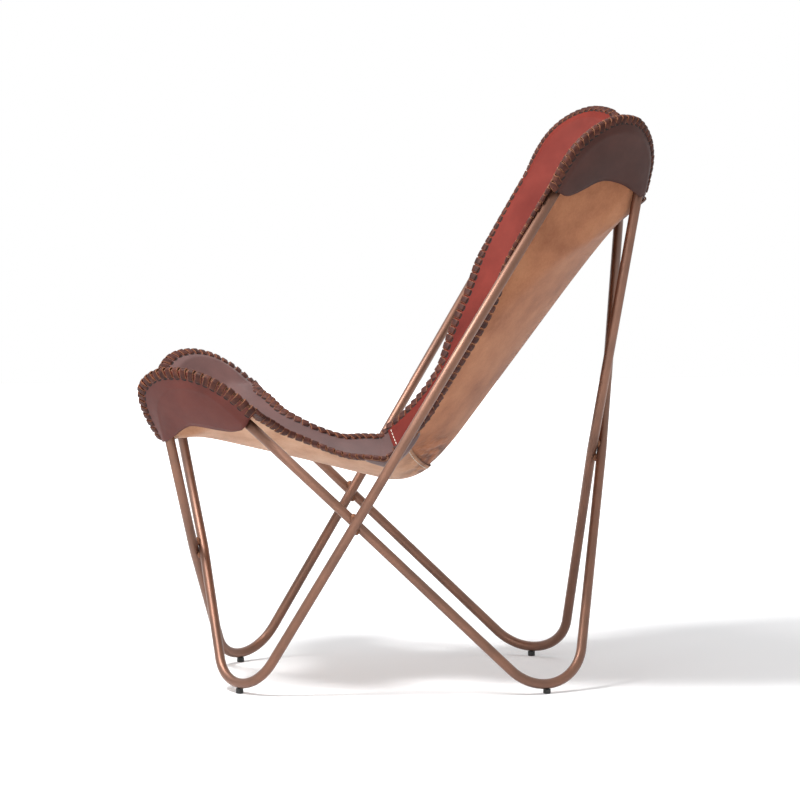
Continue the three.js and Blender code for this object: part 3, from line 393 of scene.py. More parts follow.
def lacquered_steel():
    material, tree, shader = new_material("copper_lacquer")
    place = add_node(tree, "TexCoord", "Object")
    drift = noise(tree, place, 22, 5)
    speck = noise(tree, place, 900, 3)
    dark, light = (tuple(share * c for c in COPPER) + (1,) for share in (0.82, 1.2))
    fill(tree, shader, {
        "Metallic": 0.85, "Coat Weight": 0.9, "Coat Roughness": 0.46,
        "Base Color": ramp(tree, drift, [(0.32, dark), (0.7, light)]),
        "Roughness": mapped(tree, drift, 0.42, 0.54, 0, 1),
    })
    bumped(tree, shader, [(speck, 0.06, 0.0004)])
    return material


TUBE_FINISH = lacquered_steel()


def lay_tube(node, nodes, radii, steps):
    skin, faces = sweep_tube(*tube_route(nodes, radii, steps))
    add_piece("steel_" + node, skin, faces, [TUBE_FINISH], node)


for name, side_ear, side_cross, end_cross, end_ear in (
    ("front_left", "rear_left", CROSS_LEFT["outer"], CROSS_FRONT["inner"], "front_right"),
    ("front_right", "rear_right", CROSS_RIGHT["inner"], CROSS_FRONT["outer"], "front_left"),
    ("rear_left", "front_left", CROSS_LEFT["inner"], CROSS_REAR["outer"], "rear_right"),
    ("rear_right", "front_right", CROSS_RIGHT["outer"], CROSS_REAR["inner"], "rear_left"),
):
    ear = EARS[name]
    end, side = name.split("_")
    joint_a, joint_b = EARS[side_ear]["joint_a"], EARS[end_ear]["joint_b"]
    end_a = joint_a + unit(side_cross - joint_a) * FIT
    end_b = joint_b + unit(end_cross - joint_b) * FIT
    foot = [end_a, side_cross, on_side(end + "_foot", side), end_cross, end_b]
    lay_tube("foot_tube_" + name, foot, [BOW_R, ear["r"], BOW_R], [BOW_STEPS, BEND_STEPS, BOW_STEPS])
    lay_tube("ear_tube_" + name, [ear["joint_a"], ear["corner"], ear["joint_b"]], [ear["r"]], [BEND_STEPS])

# The welds: a bead of weld metal in the notch above and below each crossing, lacquered with the tubes and a
# little rougher than they are.
def weld_finish():
    material, tree, shader = new_material("lacquered_weld")
    ripple = noise(tree, None, 420)
    copper = ramp(tree, ripple, [(0, (0.13, 0.055, 0.03, 1)), (1, (0.27, 0.12, 0.065, 1))])
    fill(tree, shader, {"Metallic": 0.7, "Roughness": 0.45, "Base Color": copper})
    bumped(tree, shader, [(ripple, 0.6, 0.0008)])
    return material


def refinish(prefix, material):
    for node, piece in NODES.items():
        if node.startswith(prefix):
            for slot in piece.material_slots:
                slot.material = material


refinish("weld_", weld_finish())

# The spigots: short bare steel rods inside the joints of the ears. The tubes and the pockets hide them, and
# they keep the CAD's shape.
def spigot_finish():
    material, tree, shader = new_material("bare_steel")
    gloss = mapped(tree, noise(tree, None, 700), 0.3, 0.5, 0, 1)
    fill(tree, shader, {"Metallic": 0.95, "Base Color": (0.27, 0.275, 0.28, 1), "Roughness": gloss})
    return material


refinish("spigot_", spigot_finish())

# The glides: black rubber plugs, pushed into the underside of each foot on a stem. The chair stands on them,
# and they keep the CAD's shape.
def rubber_finish():
    material, tree, shader = new_material("black_rubber")
    black = ramp(tree, noise(tree, None, 350), [(0, (0.006, 0.006, 0.006, 1)), (1, (0.022, 0.021, 0.02, 1))])
    fill(tree, shader, {"Roughness": 0.55, "Base Color": black})
    return material


refinish("glide_", rubber_finish())

# The seat panel: leather, dark and glossy on the sitter's side, tan suede underneath, creased into folds
# at the foot of the back, where the suede is darker and browner and the hollows of the folds get painted
# shade. It hangs from the front ears as a trough and turns up at the rear, where the back laps over it. The
# right wing's rim is narrower than the left's, and the right side edge behind it is fuller.
LEATHER = 3.2
REST = TUBE_R + LEATHER / 2 + 3 * FIT
PLY = LEATHER + FIT
RIM = PLY / 2
WRAP_EASE = 1.0
OFF_TUBE = WRAP_EASE + REST * math.sqrt(2) - RIM
OFF_LIMIT_SHARE = 0.9
SHOULDER = 8.0
RISE_HALF = 200.0
SEAT_LOW_Z, SEAT_SLOPE = 328.0, 0.245
SEAT_RISE, SEAT_FLAT_Y, SEAT_FULL_Y = 50.0, -360.0, -250.0
WAIST_RISE, WAIST_Y, WAIST_SPREAD = 32.0, -140.0, 60.0
FRONT_ROLL, FRONT_ROLL_Y, FRONT_ROLL_RUN = 12.0, -280.0, 85.0
BACK_FOOT_Y, BACK_FOOT_Z, BACK_SLOPE = 83.0, 360.0, 0.745
BACK_CURL, BACK_CURL_Z, BACK_CURL_RUN = 5.0, 620.0, 135.0
BACK_HOLLOW, BACK_FULL_Z, BACK_FLAT_Z = 44.0, 685.0, 805.0
LUMBAR_HOLLOW, LUMBAR_Z, LUMBAR_SPREAD = 31.0, 430.0, 80.0
LEFT_CURL, LEFT_CURL_FROM, LEFT_CURL_FULL, LEFT_CURL_LAST, LEFT_CURL_TO = 8.5, 400.0, 500.0, 600.0, 720.0
WAIST_HALF, BEND_HALF = 147.0, 204.0
BEND_Y, BEND_RISE, BEND_RUN = -10.0, 45.0, 100.0
BACK_HEM, SEAT_END, LAP_BLEND_END = 40.0, 73.0, 130.0
SOLVE_DEPTH = 430.0
SOLVE_ROUNDS = 22
CURVE_STEPS = 3000
SIDE_INSET = 14.0
SIDE_PROBE = 2
FREE_PROBE = 0.002
SEAT_LENGTH = BEND_Y - FRONT_EAR[1]
BACK_LENGTH = REAR_EAR[2] - SEAT_LOW_Z - BEND_RISE - BEND_RUN / 3
FRONT_MIDDLE_SHARE, TOP_MIDDLE_SHARE = 0.986, 0.97
LOBES = {
    "front": {
        "margin": 36.0,
        "margin_shares": [
            (-103, 1.1), (-88, 1.0), (-70, 1.05), (-45, 1.22), (-20, 1.05), (0, 0.88), (25, 0.8), (50, 0.78),
            (70, 0.88), (90, 1.06),
        ],
        "mouth_shares": [
            (0.71, 0.99), (0.51, 1.0), (0.32, 0.945), (0.13, 0.87), (-0.12, 0.78), (-0.27, 0.8),
            (-0.43, 0.87), (-0.6, 0.96), (-0.74, 1.02),
        ],
        "mouth_half": 112.0,
        "mouth_depth": 92.0,
    },
    "rear": {
        "margin": 20.0,
        "margin_shares": [
            (-102, 1.22), (-88, 0.9), (-75, 0.82), (-55, 0.82), (-35, 1.0), (-15, 1.3), (8, 1.3), (30, 1.1),
            (55, 0.98), (75, 0.92), (90, 1.02), (102, 1.22),
        ],
        "mouth_shares": [
            (0.82, 1.0), (0.68, 1.0), (0.47, 0.91), (0.22, 0.775), (0.01, 0.74), (-0.32, 0.785), (-0.6, 0.88),
            (-0.84, 0.98),
        ],
        "mouth_half": 100.0,
        "mouth_depth": 108.0,
    },
}
RIGHT_WING_TRIMS = [(-45, 15.0), (-5, 8.0)]
WAIST_TO_EAR_SHARES = [(0.927, -0.988), (0.592, -0.89), (0.201, -0.765), (0.022, -0.616), (0, -0.474)]
WAIST_TO_RIGHT_EAR_SHARES = [(0.99, -0.978), (0.71, -0.89), (0.27, -0.765), (0.04, -0.616), (0, -0.474)]
WAIST_TO_BEND_SHARES = [(0.193, -0.3), (0.649, -0.126)]
BEND_TO_EAR_SHARES = [
    (0, 0.063), (0.074, 0.189), (0.332, 0.299), (0.498, 0.379), (0.627, 0.465), (0.729, 0.55), (0.849, 0.636),
    (0.987, 0.721), (1.089, 0.806), (1.172, 0.891),
]
LAP_ROWS = 9
SIDE_ROWS = 30
LAST_ROW_SHARE = 0.955
OUTER_LINES = 18
INNER_LINES = 20
FREE_LINES = 14
OVER_STEPS = 7
RIM_STEPS = 3
RINGS = OVER_STEPS + RIM_STEPS
COLUMNS = 2 * (FREE_LINES + INNER_LINES)
SIDES = {1: "left", -1: "right"}
for name, ear in EARS.items():
    lobe = LOBES[name.split("_")[0]]
    ear["rim"] = np.array([(degrees, lobe["margin"] * share) for degrees, share in lobe["margin_shares"]])
right_rim = EARS["front_right"]["rim"]
right_rim[:, 1] -= np.interp(right_rim[:, 0], *np.transpose(RIGHT_WING_TRIMS))


def smooth_step(v, low, high):
    t = np.clip((v - low) / (high - low), 0, 1)
    return t * t * (3 - 2 * t)


def smooth_max(a, b, k):
    return (a + b + np.hypot(a - b, k)) / 2


def smooth_min(a, b, k):
    return -smooth_max(-a, -b, k)


def unit_rows(v):
    return v / np.maximum(1e-9, np.linalg.norm(v, axis=-1, keepdims=True))


def ear_for(end, sign):
    return EARS[f"{end}_{SIDES[sign]}"]


def tube_distance(ear, points):
    away = points - ear["centre"]
    along = -(away @ ear["inward"])
    across = np.abs(away @ ear["side"])
    reach = math.pi / 2 - ear["half"]
    beside = along * math.cos(reach) + across * math.sin(reach)
    return np.where(np.arctan2(across, along) <= reach, np.hypot(along, across), beside) - ear["r"]


def lift_over(ear, points):
    away = points - ear["centre"]
    degrees = np.degrees(np.arctan2(away @ ear["side"], -(away @ ear["inward"])))
    past = np.maximum(0, np.radians(np.abs(degrees)) - (math.pi / 2 - ear["half"]))
    edge = (ear["r"] + np.interp(degrees, *ear["rim"].T)) * np.cos(past) - ear["r"]
    reach = np.maximum(edge, OFF_TUBE) - WRAP_EASE
    out = tube_distance(ear, points) - WRAP_EASE
    turn = np.arcsin(REST / np.hypot(reach, RIM)) - np.arctan2(RIM, reach)
    over = np.sqrt(np.maximum(0, REST ** 2 - np.maximum(0, out) ** 2))
    taut = np.maximum(RIM, (REST - out * np.sin(turn)) / np.cos(turn))
    return np.where(out < REST * np.sin(turn), over, taut)


def over_ear(ear, points, axis, end):
    tip, up = ear["tip"], ear["up"]
    spot = points.copy()
    spot[..., axis] = tip[axis]
    base = (spot - tip) @ up
    low = np.full(base.shape, -SOLVE_DEPTH)
    high = np.full(base.shape, REST)
    for _ in range(SOLVE_ROUNDS):
        height = (low + high) / 2
        spot[..., axis] = tip[axis] + (height - base) / up[axis]
        lift = lift_over(ear, spot)
        if end == "rear":
            lift = np.where((spot - tip) @ ear["side"] < 0, REST, lift)
        high = np.where(height > lift, height, high)
        low = np.where(height > lift, low, height)
    return tip[axis] + (low - base) / up[axis]


def over_ears(end, points, axis):
    left, right = (over_ear(ear_for(end, sign), points, axis, end) for sign in SIDES)
    return np.where(points[..., 0] < 0, right, left)


def seat_z(x, y):
    roll = np.maximum(0, FRONT_ROLL_Y - y) / FRONT_ROLL_RUN
    middle = SEAT_LOW_Z - SEAT_SLOPE * y - FRONT_ROLL * roll * roll
    waist = WAIST_RISE * np.exp(-(((y - WAIST_Y) / WAIST_SPREAD) ** 2))
    rise = SEAT_RISE * smooth_step(y, SEAT_FLAT_Y, SEAT_FULL_Y) + waist
    wide = smooth_min(np.abs(x), FRONT_EAR[0], SHOULDER)
    trough = middle + rise * (wide / RISE_HALF) ** 2
    return smooth_max(trough, over_ears("front", np.stack([x, y, 0 * x], -1), 2), SHOULDER)


def back_y(x, z):
    curl = np.maximum(0, z - BACK_CURL_Z) / BACK_CURL_RUN
    middle = BACK_FOOT_Y + BACK_SLOPE * (z - BACK_FOOT_Z) + BACK_CURL * curl * curl
    lumbar = LUMBAR_HOLLOW * np.exp(-(z - LUMBAR_Z) / LUMBAR_SPREAD)
    full = 1 - smooth_step(z, BACK_FULL_Z, BACK_FLAT_Z)
    held = smooth_step(z, LEFT_CURL_FROM, LEFT_CURL_FULL) - smooth_step(z, LEFT_CURL_LAST, LEFT_CURL_TO)
    curled = LEFT_CURL * held * (x > 0)
    trough = middle - (BACK_HOLLOW * full + lumbar + curled) * (x / RISE_HALF) ** 2
    return smooth_min(trough, over_ears("rear", np.stack([x, 0 * x, z], -1), 1), SHOULDER)


def sling_point(places):
    x = places[..., 0].ravel()
    run = places[..., 1].ravel()
    foot_z = seat_z(x, np.full_like(x, BEND_Y))
    y = BEND_Y + run
    z = foot_z + BEND_RISE + run - BEND_RUN
    seat = run <= 0
    back = run >= BEND_RUN
    bend = ~(seat | back)
    if seat.any():
        z[seat] = seat_z(x[seat], y[seat])
    if back.any():
        y[back] = back_y(x[back], z[back])
    if bend.any():
        foot = foot_z[bend]
        top = foot + BEND_RISE
        to_y = back_y(x[bend], top)
        seat_slope = (foot - seat_z(x[bend], np.full_like(foot, BEND_Y - FIT))) / FIT
        back_slope = (back_y(x[bend], top + FIT) - to_y) / FIT
        reach = (to_y - BEND_Y - back_slope * BEND_RISE) / (1 - back_slope * seat_slope)
        t = run[bend] / BEND_RUN
        y[bend] = (1 - t) ** 2 * BEND_Y + 2 * t * (1 - t) * (BEND_Y + reach) + t * t * to_y
        z[bend] = (1 - t) ** 2 * foot + 2 * t * (1 - t) * (foot + reach * seat_slope) + t * t * top
    return np.stack([x, y, z], -1).reshape(places.shape[:-1] + (3,))


def raised_point(places, height):
    across = sling_point(places + [1, 0]) - sling_point(places - [1, 0])
    along = sling_point(places + [0, 1]) - sling_point(places - [0, 1])
    normal = unit_rows(np.cross(across, along))
    return sling_point(places) + normal * np.asarray(height)[..., None]


def place_of(end, points):
    if end == "front":
        return np.stack([points[..., 0], points[..., 1] - BEND_Y], -1)
    foot = seat_z(points[..., 0], np.full(points.shape[:-1], BEND_Y))
    return np.stack([points[..., 0], points[..., 2] - foot - BEND_RISE + BEND_RUN], -1)


def ear_point(ear, degrees, radius):
    angle = math.radians(degrees)
    out = -ear["inward"] * math.cos(angle) + ear["side"] * math.sin(angle)
    return ear["centre"] + np.multiply.outer(radius, out)


def flat_line(ear, degrees):
    past = math.radians(abs(degrees)) - (math.pi / 2 - ear["half"])
    spread = math.cos(max(0, past))
    edge = ear["r"] + np.interp(degrees, *ear["rim"].T)
    off = min(OFF_TUBE, (edge * spread - ear["r"]) * OFF_LIMIT_SHARE)
    over = (ear["r"] + off * np.linspace(0, 1, OVER_STEPS + 1)) / spread
    rim = np.linspace(over[-1], edge, RIM_STEPS + 1)[1:]
    return ear_point(ear, degrees, np.concatenate([over, rim]))


def lifted(ear, points):
    return points + lift_over(ear, points)[..., None] * ear["up"]


def ear_edge(end, sign, which):
    ear = ear_for(end, sign)
    degrees, margin = ear["rim"][-1 if which > 0 else 0]
    return lifted(ear, ear_point(ear, degrees, ear["r"] + margin))


def curve_through(places, steps):
    places = np.asarray(places, float)
    last = len(places) - 1
    p = np.linspace(0, last, steps + 1)
    i = np.minimum(p.astype(int), last - 1)
    w = (p - i)[:, None]
    p0, p1 = places[np.maximum(i - 1, 0)], places[i]
    p2, p3 = places[i + 1], places[np.minimum(i + 2, last)]
    v0, v1 = (p2 - p0) / 2, (p3 - p1) / 2
    return (2 * p1 - 2 * p2 + v0 + v1) * w ** 3 + (-3 * p1 + 3 * p2 - 2 * v0 - v1) * w ** 2 + v0 * w + p1


def lengths_along(points):
    return np.concatenate([[0], np.cumsum(np.linalg.norm(np.diff(points, axis=0), axis=1))])


def at_lengths(spots, lengths, values):
    return np.stack([np.interp(spots, lengths, channel) for channel in values.T], -1)


def by_length(curve, shares):
    lengths = lengths_along(curve)
    return at_lengths(np.asarray(shares) * lengths[-1], lengths, curve)


def side_curve(sign):
    start = place_of("front", ear_edge("front", sign, 1))
    end = place_of("rear", ear_edge("rear", sign, 1))
    places = [start]
    to_ear = WAIST_TO_EAR_SHARES if sign > 0 else WAIST_TO_RIGHT_EAR_SHARES
    for shares, near, far, length in (
        (to_ear, WAIST_HALF, FRONT_EAR[0], -start[1]),
        (WAIST_TO_BEND_SHARES, WAIST_HALF, BEND_HALF, -start[1]),
        (BEND_TO_EAR_SHARES, BEND_HALF, REAR_EAR[0], end[1]),
    ):
        places += [(sign * (near + (far - near) * share), along * length) for share, along in shares]
    return curve_through([*places, end], CURVE_STEPS)


SIDE_CURVES = {1: side_curve(1), -1: side_curve(-1)}


def side_place(sign, run):
    curve = SIDE_CURVES[sign]
    after = max(1, int(np.argmax(curve[:, 1] >= run)))
    a, b = curve[after - 1], curve[after]
    return a + (b - a) * (run - a[1]) / (b[1] - a[1])


def edge_line(inset, edge):
    return inset + np.outer(np.linspace(0, 1, RINGS + 1), edge - inset)


def side_line(sign, run):
    edge = side_place(sign, run)
    ahead = unit(side_place(sign, run + SIDE_PROBE) - side_place(sign, run - SIDE_PROBE))
    inset = edge + np.array([-sign * ahead[1], sign * ahead[0]]) * SIDE_INSET
    inset[1] += (edge[1] - inset[1]) * smooth_step(run, 0, BACK_HEM / 2)
    if run > SEAT_END:
        inset[1] = run
    return edge_line(inset, edge)


def free_lines(places, turn):
    curve = curve_through(places, CURVE_STEPS)
    lines = []
    for t in np.arange(1, FREE_LINES + 1) / (2 * FREE_LINES):
        before, edge, after = by_length(curve, [t - FREE_PROBE, t, t + FREE_PROBE])
        ahead = unit(after - before)
        lines.append(edge_line(edge + np.array([-ahead[1], ahead[0]]) * turn * SIDE_INSET, edge))
    return lines


def row_runs(end, sign):
    curve = SIDE_CURVES[sign]
    lap = np.linspace(BACK_HEM, SEAT_END, LAP_ROWS)
    if end == "rear":
        return [*lap, *np.linspace(SEAT_END, LAST_ROW_SHARE * curve[-1][1], SIDE_ROWS + 1)[1:]]
    return [*lap[::-1], *np.linspace(BACK_HEM, LAST_ROW_SHARE * curve[0][1], SIDE_ROWS + 1)[1:]]


def half_lines(end, sign, middle):
    ear = ear_for(end, sign)
    lines = [side_line(sign, run) for run in row_runs(end, sign)]
    exact = [None] * len(lines)
    outer, inner = ear["rim"][-1][0], ear["rim"][0][0]
    turns = [*np.linspace(outer, 0, OUTER_LINES + 1), *np.linspace(0, inner, INNER_LINES + 1)[1:]]
    for degrees in turns:
        points = lifted(ear, flat_line(ear, degrees))
        lines.append(place_of(end, points))
        exact.append(points if end == "rear" else None)
    other = place_of(end, ear_edge(end, -sign, -1))
    free = free_lines([lines[-1][-1], middle, other], -sign if end == "front" else sign)
    return lines + free, exact + [None] * len(free)


def grid_quads(grid):
    corners = (grid[:-1, :-1], grid[:-1, 1:], grid[1:, 1:], grid[1:, :-1])
    return np.stack(corners, -1).reshape(-1, 4)


def quad_crosses(points, quads):
    corners = points[quads]
    return np.cross(corners[:, 2] - corners[:, 0], corners[:, 3] - corners[:, 1])


def vertex_normals(points, quads):
    normals = np.zeros_like(points)
    crosses = quad_crosses(points, quads)
    for k in range(4):
        np.add.at(normals, quads[:, k], crosses)
    return unit_rows(normals)


def make_panel(end, middle, height_at):
    right, right_exact = half_lines(end, -1, middle)
    left, left_exact = half_lines(end, 1, middle)
    path = np.array(right + left[:-1][::-1])
    exact = right_exact + left_exact[:-1][::-1]
    rows = len(row_runs(end, 1)) + OUTER_LINES + 1
    bare = SEAT_END if end == "rear" else BACK_HEM
    first, last = path[rows - 1, 0], path[len(path) - rows, 0]
    t = np.linspace(0, 1, COLUMNS + 1)[:, None]
    bow = path[rows - 1:rows + COLUMNS, 0] - (first + (last - first) * t)
    follow = np.maximum(0, (path[:rows, 0, 1] - bare) / (first[1] - bare))
    from_side, to_side = path[:rows, 0], path[::-1][:rows, 0]
    inner = from_side[:, None] + (to_side - from_side)[:, None] * t + follow[:, None, None] * bow
    rims = raised_point(path, height_at(path[..., 1]))
    for k, points in enumerate(exact):
        if points is not None:
            rims[k] = points
    middles = raised_point(inner, height_at(inner[..., 1]))
    count = rows * (COLUMNS + 1)
    inner_at = np.arange(count).reshape(rows, COLUMNS + 1)
    path_at = count + np.arange(RINGS)[None] * len(path) + np.arange(len(path))[:, None]
    start = np.concatenate([inner_at[:, 0], inner_at[-1, 1:-1], inner_at[::-1, -1]])
    path_at = np.concatenate([start[:, None], path_at], axis=1)
    points = np.concatenate([middles.reshape(-1, 3), rims[:, 1:].transpose(1, 0, 2).reshape(-1, 3)])
    quads = np.concatenate([grid_quads(inner_at), grid_quads(path_at)[:, ::-1]])
    if end == "front":
        quads = quads[:, ::-1]
    normals = vertex_normals(points, quads)
    for k, line in enumerate(path_at):
        side = -1 if k < len(path_at) / 2 else 1
        if rows - OUTER_LINES - 1 <= min(k, len(path_at) - 1 - k) < rows + INNER_LINES:
            normals[line[-1]] = ear_for(end, side)["up"]
    return {"points": points, "normals": normals, "quads": quads, "lines": path_at, "grid": inner_at}


def open_edges(quads):
    sides = np.concatenate([quads[:, [k, (k + 1) % 4]] for k in range(4)])
    known = {(a, b) for a, b in sides.tolist()}
    return np.array([(a, b) for a, b in sides.tolist() if (b, a) not in known])


def add_sheet(name, panel, materials, node):
    points, quads = panel["points"], panel["quads"]
    offset = panel["normals"] * LEATHER / 2
    count = len(points)
    a, b = open_edges(quads).T
    wall = np.stack([b, a, a + count, b + count], -1)
    faces = np.concatenate([quads, quads[:, ::-1] + count, wall])
    finish = np.repeat([0, 1, 2], [len(quads), len(quads), len(wall)])
    skins = np.concatenate([points + offset, points - offset])
    return add_piece(name, skins, faces, materials, node, finish)


def tone(red, green, blue):
    parts = [c / 255 for c in (red, green, blue)]
    return tuple(c / 12.92 if c < 0.04045 else ((c + 0.055) / 1.055) ** 2.4 for c in parts) + (1.0,)


def blended(tree, kind, amount, first, second):
    values = {"Factor": amount, "A": first, "B": second}
    return add_node(tree, "Mix", "Result", values, data_type="RGBA", blend_type=kind)


def tanned_leather(name, dark, middle, light, gloss, shine=0.5, cloud=7):
    material, tree, shader = new_material(name)
    place = add_node(tree, "TexCoord", "Object")
    clouds = noise(tree, place, cloud, 5, 0.6)
    pull = noise(tree, place, 26, 4, 0.6, (1.0, 0.35, 0.35))
    colour = ramp(tree, clouds, [(0.3, tone(*dark)), (0.52, tone(*middle)), (0.74, tone(*light))])
    streak = ramp(tree, pull, [(0.3, (0.78, 0.76, 0.76, 1)), (0.7, (1.0, 1.0, 1.0, 1))])
    fill(tree, shader, {
        "Base Color": blended(tree, "MULTIPLY", 0.8, colour, streak),
        "Roughness": mapped(tree, clouds, gloss[1], gloss[0]),
        "Specular IOR Level": shine,
    })
    spots = {"Vector": place, "Scale": 620}
    pores = add_node(tree, "TexVoronoi", "Distance", spots, feature="DISTANCE_TO_EDGE")
    pebble = mapped(tree, pores, 0, 1)
    fine = noise(tree, place, 1500, 3, 0.6)
    crease = noise(tree, place, 90, 5, 0.65)
    bumped(tree, shader, [(pebble, 0.10, 0.0002), (fine, 0.16, 0.0002), (crease, 0.22, 0.0006)])
    return material


def fold_amount(tree, place):
    from_middle = add_node(tree, "VectorMath", "Vector", {0: place, 1: FOLD_MIDDLE}, operation="SUBTRACT")
    flat = add_node(tree, "VectorMath", "Vector", {0: from_middle, 1: (0, 1, 1)}, operation="MULTIPLY")
    away = add_node(tree, "VectorMath", "Value", {0: flat}, operation="LENGTH")
    return mapped(tree, away, 1.0, 0.0, FOLD_HEART, FOLD_REACH, interpolation_type="SMOOTHSTEP")


def suede(name, dark, middle, light):
    material, tree, shader = new_material(name)
    place = add_node(tree, "TexCoord", "Object")
    clouds = noise(tree, place, 11, 6, 0.65)
    nap = noise(tree, place, 340, 6, 0.75, (1.0, 1.0, 0.5))
    colour = ramp(tree, clouds, [(0.3, tone(*dark)), (0.5, tone(*middle)), (0.72, tone(*light))])
    fibre = ramp(tree, nap, [(0.3, (0.80, 0.79, 0.77, 1)), (0.7, (1.0, 1.0, 1.0, 1))])
    smooth = blended(tree, "MULTIPLY", 0.75, colour, fibre)
    # Near the fold the suede is darker and browner, and the wrinkle noise that bumps the folds also darkens
    # their hollows there: painted shade.
    wrinkle = noise(tree, place, 46, 3, 0.5, (0.5, 1.0, 1.6))
    fold_tint_and_shade = ramp(tree, wrinkle, [(0.38, (0.36, 0.28, 0.24, 1)), (0.56, (0.96, 0.84, 0.72, 1))])
    fold_shaded_colour = blended(tree, "MULTIPLY", 1.0, smooth, fold_tint_and_shade)
    fold = fold_amount(tree, place)
    depth = add_node(tree, "Math", "Value", {0: wrinkle, 1: fold}, operation="MULTIPLY")
    fine = noise(tree, place, 1300, 4, 0.7)
    bumped(tree, shader, [(depth, 0.8, 0.012), (nap, 0.45, 0.0005), (fine, 0.3, 0.0003)])
    fill(tree, shader, {
        "Base Color": blended(tree, "MIX", fold, smooth, fold_shaded_colour), "Roughness": 0.92,
        "Specular IOR Level": 0.2, "Sheen Weight": 0.25, "Sheen Roughness": 0.5,
    })
    return material


def fibrous(name, dark, light, grain=(480, 6, 0.7), depth=0.0004, dull=0.85):
    material, tree, shader = new_material(name)
    fibre = noise(tree, add_node(tree, "TexCoord", "Object"), *grain)
    colour = ramp(tree, fibre, [(0.3, tone(*dark)), (0.7, tone(*light))])
    fill(tree, shader, {"Base Color": colour, "Roughness": dull})
    bumped(tree, shader, [(fibre, 0.5, depth)])
    return material


FOLD_MIDDLE, FOLD_HEART, FOLD_REACH = (0.0, 0.072, 0.350), 0.020, 0.080
SEAT_GRAIN = tanned_leather("seat_grain", (70, 40, 37), (88, 54, 50), (106, 68, 63), gloss=(0.30, 0.42))
SEAT_SUEDE = suede("seat_suede", (172, 120, 86), (200, 152, 120), (220, 178, 148))
CUT_EDGE = fibrous("cut_edge", (78, 46, 33), (128, 84, 58))
SEAT_FINISH = [SEAT_GRAIN, SEAT_SUEDE, CUT_EDGE]
seat = make_panel("front", (0, -FRONT_MIDDLE_SHARE * SEAT_LENGTH), lambda run: 0 * run)
sheet = add_sheet("sling_seat", seat, SEAT_FINISH, "seat_panel")

# The back panel: the same leather, dyed red-brown on the sitter's side. It hangs from the rear ears, laps
# over the end of the seat and is sewn to it. Its left edge curls further forward than its right one.
BACK_GRAIN = tanned_leather(
    "back_grain", (98, 29, 22), (114, 38, 28), (130, 47, 35), gloss=(0.5, 0.64), shine=0.14)
BACK_SUEDE = suede("back_suede", (157, 97, 65), (185, 121, 84), (204, 141, 101))


def lap_height(run):
    return PLY * (1 - smooth_step(run, SEAT_END, LAP_BLEND_END))


back = make_panel("rear", (0, TOP_MIDDLE_SHARE * BACK_LENGTH), lap_height)
sheet = add_sheet("sling_back", back, [BACK_GRAIN, BACK_SUEDE, CUT_EDGE], "back_panel")

# The pockets: one piece of leather behind each ear, laced to the panel round the rim and open at its mouth,
# so that the sling hangs on the frame. The front pair is glossy red-brown, the rear pair darker.
FRONT_POCKET_GRAIN = tanned_leather(
    "front_pocket_grain", (80, 32, 24), (98, 43, 34), (115, 56, 45), gloss=(0.36, 0.48), shine=0.24)
REAR_POCKET_GRAIN = tanned_leather(
    "rear_pocket_grain", (54, 28, 22), (70, 38, 31), (84, 48, 40), gloss=(0.4, 0.54), shine=0.2)
MOUTH_STEPS = 9
POCKET_BELLY = 2.5
STRAIGHT_FROM_SHARE = 0.84
SETTLE_FROM_SHARE = 0.44
RIM_SETTLE_SHARE = 0.8


def lobe_numbers(panel, sign):
    first = (len(panel["lines"]) + 1) // 2 - FREE_LINES - INNER_LINES - OUTER_LINES - 1
    numbers = first + np.arange(OUTER_LINES + INNER_LINES + 1)
    return numbers if sign < 0 else len(panel["lines"]) - 1 - numbers


def facing_down(rows, up):
    points = np.concatenate(rows)
    grid = np.arange(len(points)).reshape(len(rows), -1)
    quads = grid_quads(grid)
    normals = vertex_normals(points, quads)
    if (normals @ up).sum() > 0:
        quads, normals = quads[:, ::-1], -normals
    return {"points": points, "normals": normals, "quads": quads, "lines": grid}


def make_pocket(end, sign, panel):
    lobe, ear = LOBES[end], ear_for(end, sign)
    spots = [
        ear["tip"] + ear["side"] * across * lobe["mouth_half"] + ear["inward"] * down * lobe["mouth_depth"]
        for across, down in lobe["mouth_shares"]
    ]
    outer, inner = ear["rim"][-1][0], ear["rim"][0][0]
    shares = [*np.linspace(1, 0, OUTER_LINES + 1), *np.linspace(0, 1, INNER_LINES + 1)[1:]]
    mouth = by_length(curve_through(spots, CURVE_STEPS), np.linspace(0, 1, len(shares)))
    edges = panel["points"][panel["lines"][lobe_numbers(panel, sign), -1]]
    settle = RIM_SETTLE_SHARE * smooth_step(np.linspace(0, 1, OVER_STEPS + 1), SETTLE_FROM_SHARE, 1)
    settle = np.concatenate([settle, np.linspace(RIM_SETTLE_SHARE, 1, RIM_STEPS + 1)[1:]])
    rows = []
    for i, (share, start) in enumerate(zip(shares, mouth)):
        line = flat_line(ear, share * (outer if i <= OUTER_LINES else inner))
        inside = tube_distance(ear, start)
        reach = (tube_distance(ear, line) - inside) / (tube_distance(ear, line[-1]) - inside)
        straight = start + np.outer(reach, line[-1] - start)
        line = line + (straight - line) * max(0, share - STRAIGHT_FROM_SHARE) / (1 - STRAIGHT_FROM_SHARE)
        t = np.linspace(0, 1, MOUTH_STEPS + 1)[:-1, None]
        flat = np.concatenate([start + (line[0] - start) * t, line])
        low = flat - lift_over(ear, flat)[:, None] * ear["up"]
        low[:MOUTH_STEPS] -= ear["up"] * POCKET_BELLY * np.sin(math.pi * t) * math.cos(share * math.pi / 2)
        shift = edges[i] - ear["up"] * PLY - low[-1]
        low[MOUTH_STEPS:] += np.outer(settle, shift)
        rows.append(low)
    pocket = facing_down(rows, ear["up"])
    pocket["normals"][pocket["lines"][:, -1]] = -ear["up"]
    return pocket


